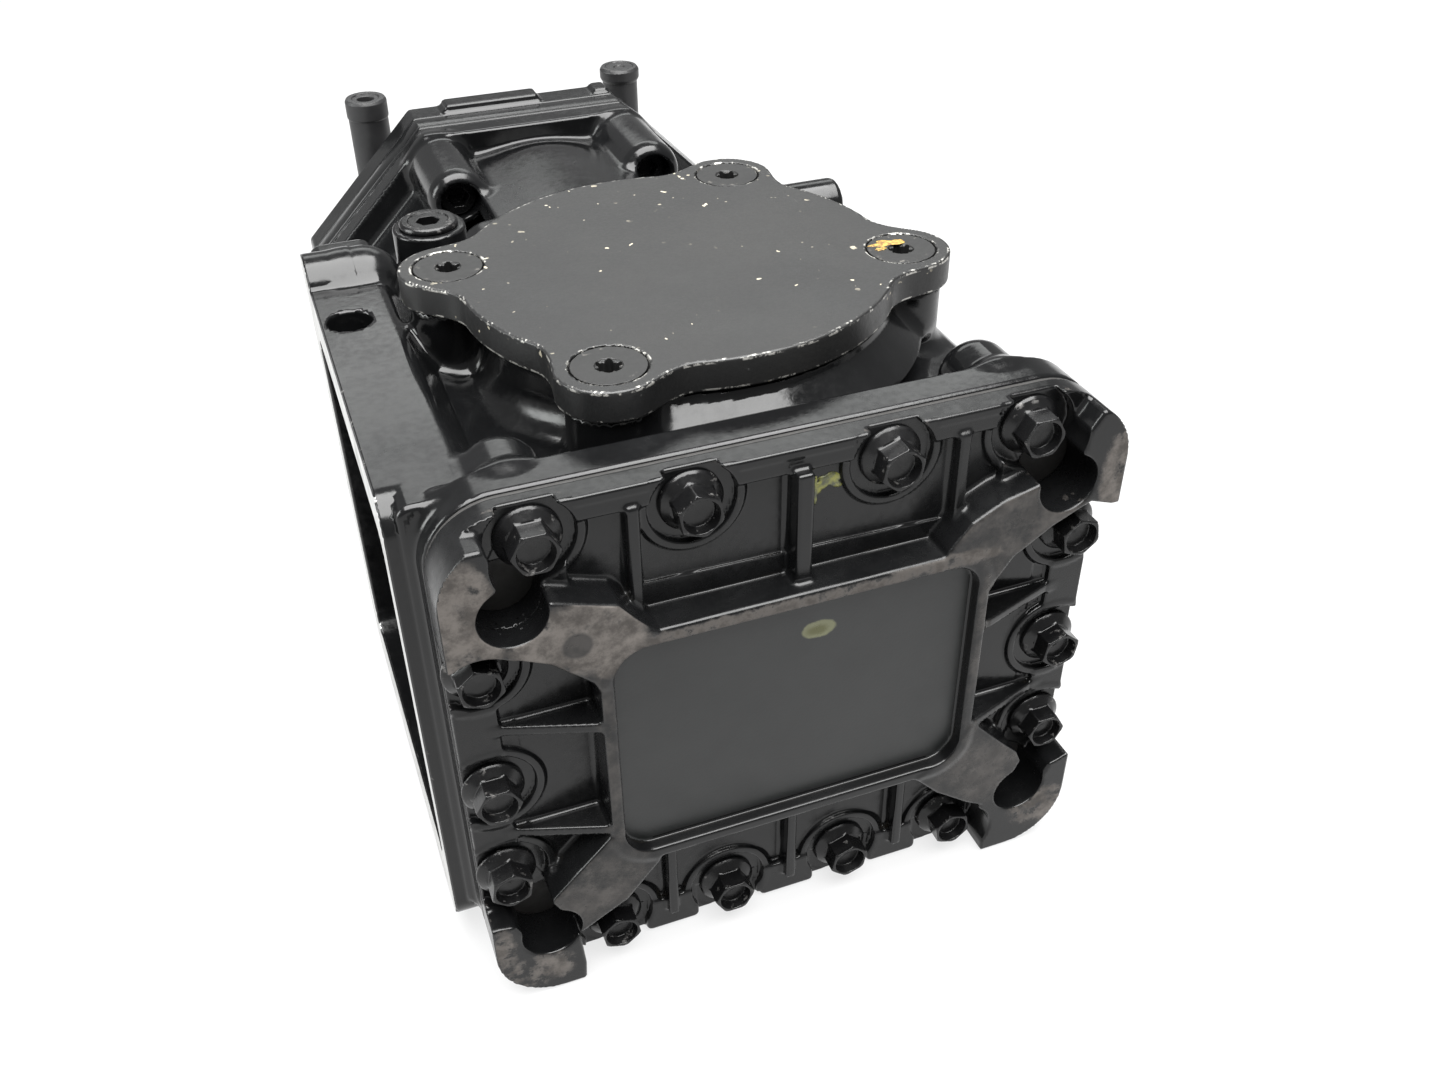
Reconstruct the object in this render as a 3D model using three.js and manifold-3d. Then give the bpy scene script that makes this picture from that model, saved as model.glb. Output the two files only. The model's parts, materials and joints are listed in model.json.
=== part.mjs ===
// Compact four-speed manual transmission, cast case with bolted end cover,
// round top cover and rear mounting stack.
//
// Working frame of the drawing: x to the right, y from the end-cover joint
// face towards the mounting plate, z up, z = 0 at the top edge of the
// end-cover joint. The whole assembly is then moved so that the origin is
// under the middle of the object, on the level of its lowest edge.
// Millimetres throughout.

import * as THREE from 'three';
import { mergeVertices } from 'three/addons/utils/BufferGeometryUtils.js';
import Module from 'manifold-3d';

const wasm = await Module();
wasm.setup();

// ---------------------------------------------------------------- dimensions
const FLANGE_HALF = 67.5;      // half width of the end-cover joint
const FLANGE_H = 119.5;        // height of the end-cover joint
const FLANGE_R = 14;           // corner radius of the joint
const COVER_LIP = 6;           // end-cover rim thickness
const COVER_PLATEAU = 12;      // height of the end-cover cross frame
const POCKET_FLOOR = 3.5;      // bolt seats in the end cover
const GAP = 0.1;               // clearance between stacked faces
const WINDOW_FACE = -72.5;     // machined face of the side opening
const CASE_END = 194;          // rear face of the bell flange
const BULKHEAD = [116, 130];   // bearing wall inside the case
const TOWER = [1.1, 61.5];     // centre of the round top cover
const TOP_R = 46.4;            // radius of the round top cover
const TOP_Z = 8.2;             // top surface of the round cover
const TOP_T = 6.5;             // its thickness
const LOBE_RADIUS = 48;        // pitch radius of the top-cover screws
const LOBE_R = 10.5;
const LOBE_ANGLES = [163.3, 56.0, -16.8, -124.4];
const PILLAR = [40, 228];      // mounting sleeves, x and y

const M6 = { shank: 3, hole: 3.3, across: 8, flange: 12.4, head: 7.6 };   // small-hexagon flange bolt
const M8_HEAD = 7.25;          // radius of the countersunk head of a top-cover screw
const COVER_BOLTS = [
  [-49.4, -7.1], [-19.7, -7.1], [19.7, -7.1], [49.4, -7.1],
  [61.8, -33.6], [61.8, -63.9], [61.8, -88],
  [40.2, -111.5], [13.9, -111.5], [-13.9, -111.5], [-40.2, -111.5],
  [-61.8, -88], [-61.8, -63.9], [-61.8, -33.6],
];
const CORNER_HOLES = [[-55, -17.5], [55, -17.5], [55.3, -101.7], [-55.3, -101.7]];

const INPUT = [18, -46];       // input shaft axis, x and z
const OUTPUT = [-18, -71.3];   // output shaft axis, 44 mm from the input
const MODULE = 2;
const TEETH = [[15, 29], [19, 25], [22, 22], [25, 19]];   // drive, driven
const GEAR_W = 10;
const GEAR_Y = [15, 46.2, 72.2, 103.4];   // front face of each gear pair
const BAY_Y = [35.6, 92.8];               // middle of each shift sleeve
const CONE = { base: 16.2, tip: 15.2, reach: 4.6, gap: 0.35 };   // clutch cone on each driven gear
const SLEEVE_TRAVEL = 2.9;                // each way from neutral, along the shaft
const PINION = { teeth: 24, module: 2.5, y: 57.2, width: 14 };
const RAILS = [[-52, -50], [-30, -24]];   // shift rails, x and z
const RAIL_R = 5;
const BELL_BOLTS = [[-27, -11.5], [27, -11.5], [-27, -107], [27, -107]];

// ------------------------------------------------------------------- helpers
const V = (a, b) => new THREE.Vector2(a, b);

function solid(geometry, matrix) {
  let g = geometry.clone();
  if (matrix) g.applyMatrix4(matrix);
  g.deleteAttribute('normal');
  g.deleteAttribute('uv');
  g = mergeVertices(g, 1e-4);
  const mesh = new wasm.Mesh({
    numProp: 3,
    vertProperties: new Float32Array(g.attributes.position.array),
    triVerts: new Uint32Array(g.index.array),
  });
  return new wasm.Manifold(mesh);
}

function geometryOf(manifold) {
  const m = manifold.getMesh();
  const g = new THREE.BufferGeometry();
  const pos = new Float32Array((m.vertProperties.length / m.numProp) * 3);
  for (let i = 0; i < pos.length / 3; i++) {
    for (let k = 0; k < 3; k++) pos[i * 3 + k] = m.vertProperties[i * m.numProp + k];
  }
  g.setAttribute('position', new THREE.BufferAttribute(pos, 3));
  g.setIndex(new THREE.BufferAttribute(new Uint32Array(m.triVerts), 1));
  g.computeVertexNormals();
  return g;
}

const join = (...list) => list.reduce((a, b) => a.add(b));
const cut = (body, ...list) => list.reduce((a, b) => a.subtract(b), body);

// extrusions of a flat outline along each axis
function extrude(shape, depth) {
  return new THREE.ExtrudeGeometry(shape, { depth, bevelEnabled: false, curveSegments: 8 });
}
const alongZ = (shape, z0, z1) =>
  solid(extrude(shape, z1 - z0), new THREE.Matrix4().makeTranslation(0, 0, z0));
const alongY = (shape, y0, y1) =>      // outline drawn in x, z
  solid(extrude(shape, y1 - y0), new THREE.Matrix4().set(
    1, 0, 0, 0, 0, 0, -1, y1, 0, 1, 0, 0, 0, 0, 0, 1));
const alongX = (shape, x0, x1) =>      // outline drawn in y, z
  solid(extrude(shape, x1 - x0), new THREE.Matrix4().set(
    0, 0, 1, x0, 1, 0, 0, 0, 0, 1, 0, 0, 0, 0, 0, 1));

function polygon(points, holes = []) {
  const s = new THREE.Shape(points.map((p) => V(p[0], p[1])));
  for (const h of holes) s.holes.push(new THREE.Path(h.map((p) => V(p[0], p[1]))));
  return s;
}
function ring(cx, cy, r, n, phase = 0) {
  const out = [];
  for (let i = 0; i < n; i++) {
    const a = phase + (i * 2 * Math.PI) / n;
    out.push([cx + r * Math.cos(a), cy + r * Math.sin(a)]);
  }
  return out;
}
function roundedRect(x0, y0, x1, y1, r, n = 5) {
  const out = [];
  const corners = [[x1 - r, y1 - r, 0], [x0 + r, y1 - r, 90], [x0 + r, y0 + r, 180], [x1 - r, y0 + r, 270]];
  for (const [cx, cy, a0] of corners) {
    for (let i = 0; i <= n; i++) {
      const a = ((a0 + (90 * i) / n) * Math.PI) / 180;
      out.push([cx + r * Math.cos(a), cy + r * Math.sin(a)]);
    }
  }
  return out;
}
const cylY = (x, z, r, y0, y1, n = 20) => alongY(polygon(ring(x, z, r, n)), y0, y1);
const cylX = (y, z, r, x0, x1, n = 20) => alongX(polygon(ring(y, z, r, n)), x0, x1);
const cylZ = (x, y, r, z0, z1, n = 20) => alongZ(polygon(ring(x, y, r, n)), z0, z1);
const boxOf = (x0, x1, y0, y1, z0, z1) => solid(
  new THREE.BoxGeometry(x1 - x0, y1 - y0, z1 - z0),
  new THREE.Matrix4().makeTranslation((x0 + x1) / 2, (y0 + y1) / 2, (z0 + z1) / 2));
const ball = (x, y, z, r, n = 14) => solid(new THREE.SphereGeometry(r, n, n / 2 + 1),
  new THREE.Matrix4().makeTranslation(x, y, z));
// turned piece about an axis along Y through x, z: profile is [radius, y]
function turnedY(x, z, profile, n = 24) {
  const g = new THREE.LatheGeometry(profile.map((p) => V(p[0], p[1])), n);
  return solid(g, new THREE.Matrix4().makeTranslation(x, 0, z));
}
function turnedZ(x, y, profile, n = 24) {
  const g = new THREE.LatheGeometry(profile.map((p) => V(p[0], p[1])), n);
  g.rotateX(Math.PI / 2);
  return solid(g, new THREE.Matrix4().makeTranslation(x, y, 0));
}
function sector(cx, cy, r0, r1, a0, a1, n = 4) {
  const out = [];
  for (let i = 0; i <= n; i++) {
    const a = ((a0 + ((a1 - a0) * i) / n) * Math.PI) / 180;
    out.push([cx + r1 * Math.cos(a), cy + r1 * Math.sin(a)]);
  }
  for (let i = n; i >= 0; i--) {
    const a = ((a0 + ((a1 - a0) * i) / n) * Math.PI) / 180;
    out.push([cx + r0 * Math.cos(a), cy + r0 * Math.sin(a)]);
  }
  return out;
}

const root = new THREE.Group();
// origin under the middle of the object, on the level of its lowest edge
root.position.set(1.8, -111.15, FLANGE_H);

function piece(name, manifold, { color, roughness = 0.4, metalness = 0.5 }) {
  const mesh = new THREE.Mesh(
    manifold.isBufferGeometry ? manifold : geometryOf(manifold),
    new THREE.MeshStandardMaterial({ color, roughness, metalness }));
  mesh.name = name;
  root.add(mesh);
  return mesh;
}
const BLACK_CAST = { color: 0x0b0b0c, roughness: 0.25, metalness: 0.0 };
const BLACK_LID = { color: 0x17181a, roughness: 0.42, metalness: 0.0 };
const BLACK_BOLT = { color: 0x0d0d0e, roughness: 0.28, metalness: 0.3 };
const STEEL = { color: 0xa9adb1, roughness: 0.3, metalness: 1.0 };
const DARK_STEEL = { color: 0x5a5d60, roughness: 0.38, metalness: 1.0 };
const SEAL = { color: 0x16130f, roughness: 0.6, metalness: 0.0 };
const GASKET = { color: 0x1f1e1c, roughness: 0.8, metalness: 0.0 };

// ---------------------------------------------------------- outline builders
const jointOutline = roundedRect(-FLANGE_HALF, -FLANGE_H, FLANGE_HALF, 0, FLANGE_R, 4);
// octagonal outline of the rear flange stack; inset shrinks it all round
function octagon(inset = 0, bottom = -FLANGE_H) {
  const k = inset * 0.4142;
  return [
    [-30 + k, -3 - inset], [-64.7 + inset, -37.7 - k], [-64.7 + inset, bottom + 34.7 + k], [-30 + k, bottom + inset],
    [30 - k, bottom + inset], [64.7 - inset, bottom + 34.7 + k], [64.7 - inset, -37.7 - k], [30 - k, -3 - inset],
  ];
}
const lobes = LOBE_ANGLES.map((a) => [
  TOWER[0] + LOBE_RADIUS * Math.cos((a * Math.PI) / 180),
  TOWER[1] + LOBE_RADIUS * Math.sin((a * Math.PI) / 180)]);

// ================================================================= gear case
{
  const flange = alongY(polygon(jointOutline), 0.5, 9);
  const section = [
    [-70, -3], [-46, -3], [-40, -7], [0, -8], [46, -12], [60, -13.5], [64, -18], [64, -98], [56, -112], [-62, -112], [-70, -106]];
  const body = alongY(polygon(section), 6, 126);
  const windowFlange = alongX(polygon(roundedRect(6.5, -114, 113, -3, 8, 3)), WINDOW_FACE, -66);
  const bell = alongY(polygon(octagon(3)), 112, 187);
  const bellFlange = alongY(polygon(octagon(0)), 185, CASE_END);

  // round tower under the top cover, flared towards the case roof
  const top = TOP_Z - TOP_T - 0.8;
  const tower = turnedZ(TOWER[0], TOWER[1], [[0, -15.5], [51, -8.5], [43.4, top - 1], [43.4, top], [0, top]], 32);
  const posts = lobes.map(([x, y]) => cylZ(x, y, 9, -17, top, 10));

  // bosses
  const boltBosses = COVER_BOLTS.map(([x, z]) => cylY(x, z, 5.4, 6, 15, 6));
  const domes = CORNER_HOLES.map(([x, z]) => join(
    ball(x, 13, z, 9.2, 8), cylY(x, z, 9, 6, 13, 8)));
  const sideBossLeft = join(
    cylX(106, -6, 8.2, WINDOW_FACE, -60, 10), ball(-60, 106, -6, 8.2, 8));
  const sideBossRight = join(
    cylX(116, -10, 6.5, 44, 64, 10));
  const plugBoss = cylZ(-41.5, 120, 8.6, -16, -0.9, 16);
  const drainBoss = cylZ(0, 60, 12, -114.5, -104, 16);
  const bellBosses = BELL_BOLTS.map(([x, z]) => cylY(x, z, 8, 156, CASE_END, 10));

  // cavities
  const mouth = join(alongY(polygon(roundedRect(-54, -105, 54, -15, 22, 3)), -1, 16),
    cylY(RAILS[0][0], RAILS[0][1], 8.9, -1, 16, 12));
  const gearSpace = alongY(polygon([[-65, -14], [-65, -102], [-61, -106], [54, -106], [58, -102], [58, -20], [52, -17.5], [-30, -15], [-36, -14]]), 14, BULKHEAD[0]);
  const bellSpace = join(alongY(polygon(octagon(8)), BULKHEAD[1], 200),
    cylY(RAILS[0][0], RAILS[0][1], 6, BULKHEAD[1] - 2, 200, 8));
  const window = alongX(polygon(roundedRect(14, -100, 100, -14, 6, 3)), -80, -60);
  const towerBore = cylZ(TOWER[0], TOWER[1], 35, -24, 20, 24);

  let c = join(flange, body, windowFlange, bell, bellFlange, tower, ...posts,
    ...boltBosses, ...domes, sideBossLeft, sideBossRight, plugBoss, drainBoss);
  c = cut(c, mouth, gearSpace, bellSpace, window, towerBore);
  c = join(c, ...bellBosses);
  // bearing seats and rail bores
  c = cut(c,
    cylY(INPUT[0], INPUT[1], 17.9, 115, 128.5, 20),
    cylY(INPUT[0], INPUT[1], 12, 120, 135, 14),
    cylY(OUTPUT[0], OUTPUT[1], 17.9, 115, 128.5, 20),
    cylY(OUTPUT[0], OUTPUT[1], 13.2, 120, 135, 14));
  for (const [x, z] of RAILS) c = cut(c, cylY(x, z, RAIL_R + 0.35, 110, 135, 14));
  // threaded holes for the end cover, the corner fixings and the top cover
  for (const [x, z] of COVER_BOLTS) c = cut(c, cylY(x, z, 3.6, -1, 13, 6));
  for (const [x, z] of CORNER_HOLES) c = cut(c, cylY(x, z, 5, -1, 12, 8));
  for (const [x, y] of lobes) c = cut(c, cylZ(x, y, 4.7, -11.5, 10, 8));
  c = cut(c,
    cylZ(-66.3, 81, 4.8, -9.5, 5, 12),                 // dowel hole in the side ledge
    cylZ(-41.5, 120, 5.6, -12, 5, 16),                 // filler hole
    cylZ(0, 60, 6.4, -125, -100, 16));                 // drain hole
  // recesses and clearance holes of the bell bolts
  for (const [x, z] of BELL_BOLTS) {
    c = cut(c, cylY(x, z, 6.2, 148, 167, 10), cylY(x, z, 3.6, 160, 200, 6));
  }
  piece('gear_case', c, BLACK_CAST);
}

// ================================================================= end cover
{
  const y1 = -0.5;
  const plate = alongY(polygon(jointOutline), -COVER_LIP, y1);
  // cross frame with its corner pads
  const frame = alongY(polygon([
    [-29.5, -28.4], [-33.3, -24], [-36.1, -20.4], [-48.6, -12], [-60.6, -4.1], [-64.5, -10], [-67, -20.6],
    [-61, -23.2], [-54, -26], [-49.4, -30.1], [-42, -37], [-40.5, -42],
    [-40.8, -72], [-41.2, -78.5], [-53.4, -91.2], [-62, -92], [-66.5, -96.3], [-64.7, -103], [-57.2, -111.2],
    [-50.6, -111.2], [-45, -104], [-38.7, -98.6], [-30.7, -89.1], [-24, -88.2],
    [24, -88.2], [30.7, -89.1], [38.7, -98.6], [45.1, -104.5], [49.5, -110.9], [55.1, -111.2], [60.7, -107.2],
    [64.7, -101.1], [66, -95.6], [64.6, -90.7], [53.4, -91.2], [41.2, -78.5],
    [40.8, -72], [40.5, -42], [42, -37], [49.4, -30.1], [54, -26],
    [61, -23.2], [65.5, -23.7], [66.1, -16.7], [65.5, -12.2], [58, -7], [48.6, -12], [36.1, -20.4], [33.3, -24], [29.5, -28.4],
  ]), -COVER_PLATEAU, -COVER_LIP + 1);
  // bearing carriers on the inside
  const carriers = join(
    cylY(INPUT[0], INPUT[1], 21.3, y1 - 1, 13, 20),
    cylY(OUTPUT[0], OUTPUT[1], 21.3, y1 - 1, 13, 20),
    ...RAILS.map(([x, z]) => cylY(x, z, 8.2, y1 - 1, 12, 12)));
  // stiffening ribs between frame and rim
  const ribs = [];
  const wedge = (x0, x1, z0, z1) => boxOf(x0, x1, -9, -COVER_LIP + 1, z0, z1);
  for (const z of [-48, -77]) ribs.push(wedge(-58, -40, z - 1.2, z + 1.2), wedge(40, 58, z - 1.2, z + 1.2));
  for (const x of [-31, 31]) ribs.push(wedge(x - 1.2, x + 1.2, -29, -6));
  ribs.push(wedge(-1.8, 1.8, -29, -4));
  for (const x of [-27, 0, 27]) ribs.push(wedge(x - 1.2, x + 1.2, -113, -88));
  let c = join(plate, frame, carriers, ...ribs);
  // sunk panel in the middle, bolt seats, corner holes
  c = cut(c, alongY(polygon(roundedRect(-36, -84, 36, -33, 8, 2)), -20, -9));
  for (const [x, z] of COVER_BOLTS) {
    const edge = Math.abs(z + 7.1) < 1 ? [x - 7.5, x + 7.5, z + 1, 1] :
      z < -110 ? [x - 7.5, x + 7.5, -121, z - 1] : null;
    c = cut(c, cylY(x, z, 8.4, -20, -POCKET_FLOOR, 10), cylY(x, z, M6.hole + 0.3, -20, 2, 6));
    if (edge) c = cut(c, boxOf(edge[0], edge[1], -20, -POCKET_FLOOR, edge[2], edge[3]));
    else c = cut(c, boxOf(x > 0 ? x : -70, x > 0 ? 70 : x, -20, -POCKET_FLOOR, z - 7.5, z + 7.5));
  }
  for (const [x, z] of CORNER_HOLES) c = cut(c, cylY(x, z, 5.6, -20, 2, 8));
  c = cut(c,
    cylY(INPUT[0], INPUT[1], 17.9, 2.6, 14, 20),
    cylY(OUTPUT[0], OUTPUT[1], 17.9, 2.6, 14, 20),
    cylY(INPUT[0], INPUT[1], 10, 0.5, 14, 12),
    cylY(OUTPUT[0], OUTPUT[1], 10, 0.5, 14, 12));
  for (const [x, z] of RAILS) c = cut(c, cylY(x, z, RAIL_R + 0.35, 1, 14, 14));
  piece('end_cover', c, BLACK_CAST);

  // gasket between end cover and case
  let g = alongY(polygon(jointOutline, [roundedRect(-54, -105, 54, -15, 22, 3).reverse()]), -0.4, 0.4);
  for (const [x, z] of COVER_BOLTS) g = cut(g, cylY(x, z, 4.4, -2, 2, 4));
  for (const [x, z] of CORNER_HOLES) g = cut(g, cylY(x, z, 5.6, -2, 2, 8));
  for (const [x, z] of RAILS) g = cut(g, cylY(x, z, 8.8, -2, 2, 10));
  piece('end_cover_gasket', g, GASKET);
}

// flanged hexagon bolt, axis along Y, head towards -Y
function flangeBolt(x, z, seat, length, turn = 0) {
  const shank = cylY(x, z, M6.shank, seat - 0.5, seat + length, 6);
  const flange = turnedY(x, z, [[0, seat - 1.9], [4.7, seat - 1.9], [M6.flange / 2, seat - 0.7], [M6.flange / 2, seat], [0, seat]], 12);
  const hex = alongY(polygon(ring(x, z, M6.across / 2 / Math.cos(Math.PI / 6), 6, turn)), seat - M6.head, seat - 1.4);
  return join(shank, flange, hex);
}
COVER_BOLTS.forEach(([x, z], i) => {
  piece(`end_cover_bolt_${String(i + 1).padStart(2, '0')}`,
    flangeBolt(x, z, -POCKET_FLOOR - GAP, 15, (i * 0.7) % 1.05), BLACK_BOLT);
});

// ================================================================= top cover
{
  const z0 = TOP_Z - TOP_T;
  let c = cylZ(TOWER[0], TOWER[1], TOP_R, z0, TOP_Z, 44);
  for (const [x, y] of lobes) c = join(c, cylZ(x, y, LOBE_R, z0, TOP_Z, 16));
  let g = join(cylZ(TOWER[0], TOWER[1], 43.2, z0 - 0.7, z0 - 0.1, 24), ...lobes.map(([x, y]) => cylZ(x, y, 8.8, z0 - 0.7, z0 - 0.1, 10)));
  g = cut(g, cylZ(TOWER[0], TOWER[1], 35.2, -5, 20, 24));
  for (const [x, y] of lobes) {
    c = cut(c, cylZ(x, y, 4.6, z0 - 1, TOP_Z + 1, 8),
      turnedZ(x, y, [[0, TOP_Z - 3.9], [4.3, TOP_Z - 3.9], [M8_HEAD + 0.3, TOP_Z - 0.6], [M8_HEAD + 0.3, TOP_Z + 1], [0, TOP_Z + 1]], 14));
    g = cut(g, cylZ(x, y, 4.7, -5, 20, 6));
  }
  piece('top_cover', c, BLACK_LID);
  piece('top_cover_gasket', g, GASKET);
  lobes.forEach(([x, y], i) => {
    let s = turnedZ(x, y, [[0, -10], [4.0, -10], [4.0, TOP_Z - 3.7], [M8_HEAD, TOP_Z - 0.45], [M8_HEAD, TOP_Z - 0.1], [0, TOP_Z - 0.1]], 14);
    s = cut(s, alongZ(polygon(ring(x, y, 2.75, 6, 0.3 * i)), TOP_Z - 3.2, TOP_Z + 1));
    piece(`top_cover_screw_${i + 1}`, s, BLACK_BOLT);
  });
}

// ======================================================= filler, drain plugs
{
  let p = turnedZ(-41.5, 120, [[0, -10], [5.2, -10], [5.2, -0.7], [7, -0.7], [7, -0.2], [6.2, 0.6], [0, 0.6]], 14);
  p = cut(p, alongZ(polygon(ring(-41.5, 120, 3.46, 6)), -3.4, 2));
  piece('filler_plug', p, BLACK_BOLT);
  let d = join(cylZ(0, 60, 6, -116.4, -106, 10), cylZ(0, 60, 10.5, -116.4, -115.1, 14),
    alongZ(polygon(ring(0, 60, 8.66, 6)), -119.3, -116));
  d = cut(d, cylZ(0, 60, 3.5, -108.5, -100, 12));
  piece('drain_plug', d, BLACK_BOLT);
  const w = alongZ(polygon(ring(0, 60, 10, 14), [ring(0, 60, 6.5, 14).reverse()]), -115, -114.6);
  piece('drain_plug_washer', w, { color: 0xb06a3a, roughness: 0.35, metalness: 1 });
}

// =============================================================== rear stack
{
  let a = alongY(polygon(octagon(0)), CASE_END + GAP, 202.4);
  a = cut(a, cylY(INPUT[0], INPUT[1], 19.4, 196, 204, 18), cylY(INPUT[0], INPUT[1], 14, 190, 204, 14));
  for (const [x, z] of RAILS) a = cut(a, cylY(x, z, RAIL_R + 0.35, 190, 204, 12));
  for (const [x, z] of BELL_BOLTS) a = cut(a, cylY(x, z, 3.6, 190, 204, 6));
  piece('adapter_plate', a, BLACK_CAST);

  let m = alongY(polygon(octagon(0)), 202.5, 212);
  m = join(m,
    alongY(polygon([[-22, -5], [9, -5], [7.5, -0.8], [-20, -0.8]]), 204, 211),
    alongY(polygon([[24, -5], [30, -5], [29, -1.6], [25, -1.6]]), 204, 211));
  // lugs that hold the two mounting sleeves
  for (const s of [-1, 1]) {
    m = join(m, boxOf(s > 0 ? 34.5 : -45.5, s > 0 ? 45.5 : -34.5, 211, 226, -39, -30),
      cylZ(s * PILLAR[0], PILLAR[1] - 3, 9.3, -39, -30, 14));
    m = cut(m, cylZ(s * PILLAR[0], PILLAR[1], 5.3, -50, -10, 14));
  }
  m = cut(m, cylY(INPUT[0], INPUT[1], 24, 200, 215, 24));
  for (const [x, z] of RAILS) m = cut(m, cylY(x, z, RAIL_R + 1.2, 200, 215, 12));
  for (const [x, z] of BELL_BOLTS) m = cut(m, cylY(x, z, 3.6, 200, 210, 6));
  piece('mounting_plate', m, BLACK_CAST);

  for (const [name, s] of [['mount_sleeve_left', -1], ['mount_sleeve_right', 1]]) {
    let b = join(
      turnedZ(s * PILLAR[0], PILLAR[1], [[0, -40], [4.9, -40], [4.9, -29.8], [6.2, -29.8], [6.2, -3], [0, -3]], 14));
    b = cut(b, cylZ(s * PILLAR[0], PILLAR[1], 2.5, -60, s < 0 ? 5 : -6, 10));   // the right one is capped
    piece(name, b, BLACK_BOLT);
  }
  // oil seal of the input shaft, in the adapter plate
  const seal = turnedY(INPUT[0], INPUT[1], [[9.2, 197], [19, 197], [19, 202.3], [11, 202.3], [11, 199], [9.2, 199], [9.2, 197]], 18);
  piece('input_oil_seal', seal, SEAL);

  BELL_BOLTS.forEach(([x, z], i) => {
    const head = cylY(x, z, 5, 161, 166.9, 12);
    let b = join(head, cylY(x, z, 3, 166, 208, 6));
    b = cut(b, alongY(polygon(ring(x, z, 2.9, 6)), 159, 164));
    piece(`bell_bolt_${i + 1}`, b, BLACK_BOLT);
  });
}

// ==================================================================== gears
function gearOutline(cx, cz, m, N, phaseDeg) {
  const pressure = (20 * Math.PI) / 180;
  const rp = (m * N) / 2, rb = rp * Math.cos(pressure), ra = rp + 0.95 * m, rf = rp - 1.25 * m;
  const inv = (a) => Math.tan(a) - a;
  const half = Math.PI / (2 * N) - 0.16 / rp;       // half tooth angle at the pitch circle, with backlash
  const at = (r) => {                               // half tooth angle at radius r
    const rr = Math.max(r, rb);
    return half + inv(pressure) - inv(Math.acos(rb / rr));
  };
  const out = [];
  for (let k = 0; k < N; k++) {
    const c = (phaseDeg * Math.PI) / 180 + (k * 2 * Math.PI) / N;
    const push = (r, a) => out.push([cx + r * Math.cos(c + a), cz + r * Math.sin(c + a)]);
    push(rf, -at(rf)); push(ra, -at(ra));
    push(ra, at(ra)); push(rf, at(rf));
  }
  return out;
}
const lineAngle = (Math.atan2(OUTPUT[1] - INPUT[1], OUTPUT[0] - INPUT[0]) * 180) / Math.PI;

// radius of the clutch cone at a distance from the gear face
const coneAt = (t) => CONE.base - ((CONE.base - CONE.tip) * t) / CONE.reach;

const NAMES = ['first', 'second', 'third', 'fourth'];
TEETH.forEach(([n1, n2], i) => {
  const y = GEAR_Y[i];
  const drive = alongY(polygon(gearOutline(...INPUT, MODULE, n1, lineAngle), [ring(...INPUT, 9.3, 16).reverse()]), y, y + GEAR_W);
  piece(`drive_gear_${NAMES[i]}`, drive, STEEL);
  let driven = alongY(polygon(gearOutline(...OUTPUT, MODULE, n2, lineAngle + 180 + 180 / n2), [ring(...OUTPUT, 12.4, 16).reverse()]), y, y + GEAR_W);
  const front = i % 2 === 1;     // second and fourth carry their clutch cone on the front face
  driven = join(driven, turnedY(...OUTPUT, front
    ? [[12.7, y - CONE.reach], [CONE.tip, y - CONE.reach], [CONE.base, y], [CONE.base, y + 1], [12.7, y + 1], [12.7, y - CONE.reach]]
    : [[12.7, y + GEAR_W - 1], [CONE.base, y + GEAR_W - 1], [CONE.base, y + GEAR_W], [CONE.tip, y + GEAR_W + CONE.reach],
      [12.7, y + GEAR_W + CONE.reach], [12.7, y + GEAR_W - 1]], 24));
  piece(`driven_gear_${NAMES[i]}`, driven, STEEL);
});

{
  const pin = alongY(polygon(gearOutline(...OUTPUT, PINION.module, PINION.teeth, 180), [ring(...OUTPUT, 12.4, 16).reverse()]),
    PINION.y, PINION.y + PINION.width);
  piece('output_pinion', pin, STEEL);
}

// =================================================================== shafts
{
  let s = turnedY(INPUT[0], INPUT[1], [[0, 3], [8.3, 3], [8.3, 13.3], [9, 13.6], [9, 115.8], [8.3, 116.1], [8.3, 196],
    [8.3, 210.2], [7.6, 211], [0, 211]], 16);
  for (let k = 0; k < 8; k++) {       // input splines at the drive end
    const a = (k * Math.PI) / 4;
    s = cut(s, cylY(INPUT[0] + 8.8 * Math.cos(a), INPUT[1] + 8.8 * Math.sin(a), 1.4, 200.5, 213, 4));
  }
  piece('input_shaft', s, STEEL);

  let o = turnedY(OUTPUT[0], OUTPUT[1], [[0, 3], [8.3, 3], [8.3, 13.3], [12, 13.6], [12, 115], [8.3, 115.3], [8.3, 128], [0, 128]], 16);
  for (const yc of BAY_Y) {
    for (let k = 0; k < 6; k++) {     // spline grooves that carry a shift sleeve
      const a = (k * 60 * Math.PI) / 180;
      const slot = solid(new THREE.BoxGeometry(4, 20.6, 4.4), new THREE.Matrix4()
        .makeTranslation(OUTPUT[0] + 12.3 * Math.cos(a), yc, OUTPUT[1] + 12.3 * Math.sin(a))
        .multiply(new THREE.Matrix4().makeRotationY(-a)));
      o = cut(o, slot);
    }
  }
  piece('output_shaft', o, STEEL);
}

// bearings: outer ring, inner ring and the filled ball track as one body
const bearing = (cx, cz, y) => turnedY(cx, cz, [
  [8.8, y], [11.4, y], [13, y + 0.8], [14.6, y], [17.4, y],
  [17.4, y + 10], [8.8, y + 10], [8.8, y]], 14);
piece('input_bearing_front', bearing(...INPUT, 2.8), STEEL);
piece('input_bearing_rear', bearing(...INPUT, 118.2), STEEL);
piece('output_bearing_front', bearing(...OUTPUT, 2.8), STEEL);
piece('output_bearing_rear', bearing(...OUTPUT, 118.2), STEEL);

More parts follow.
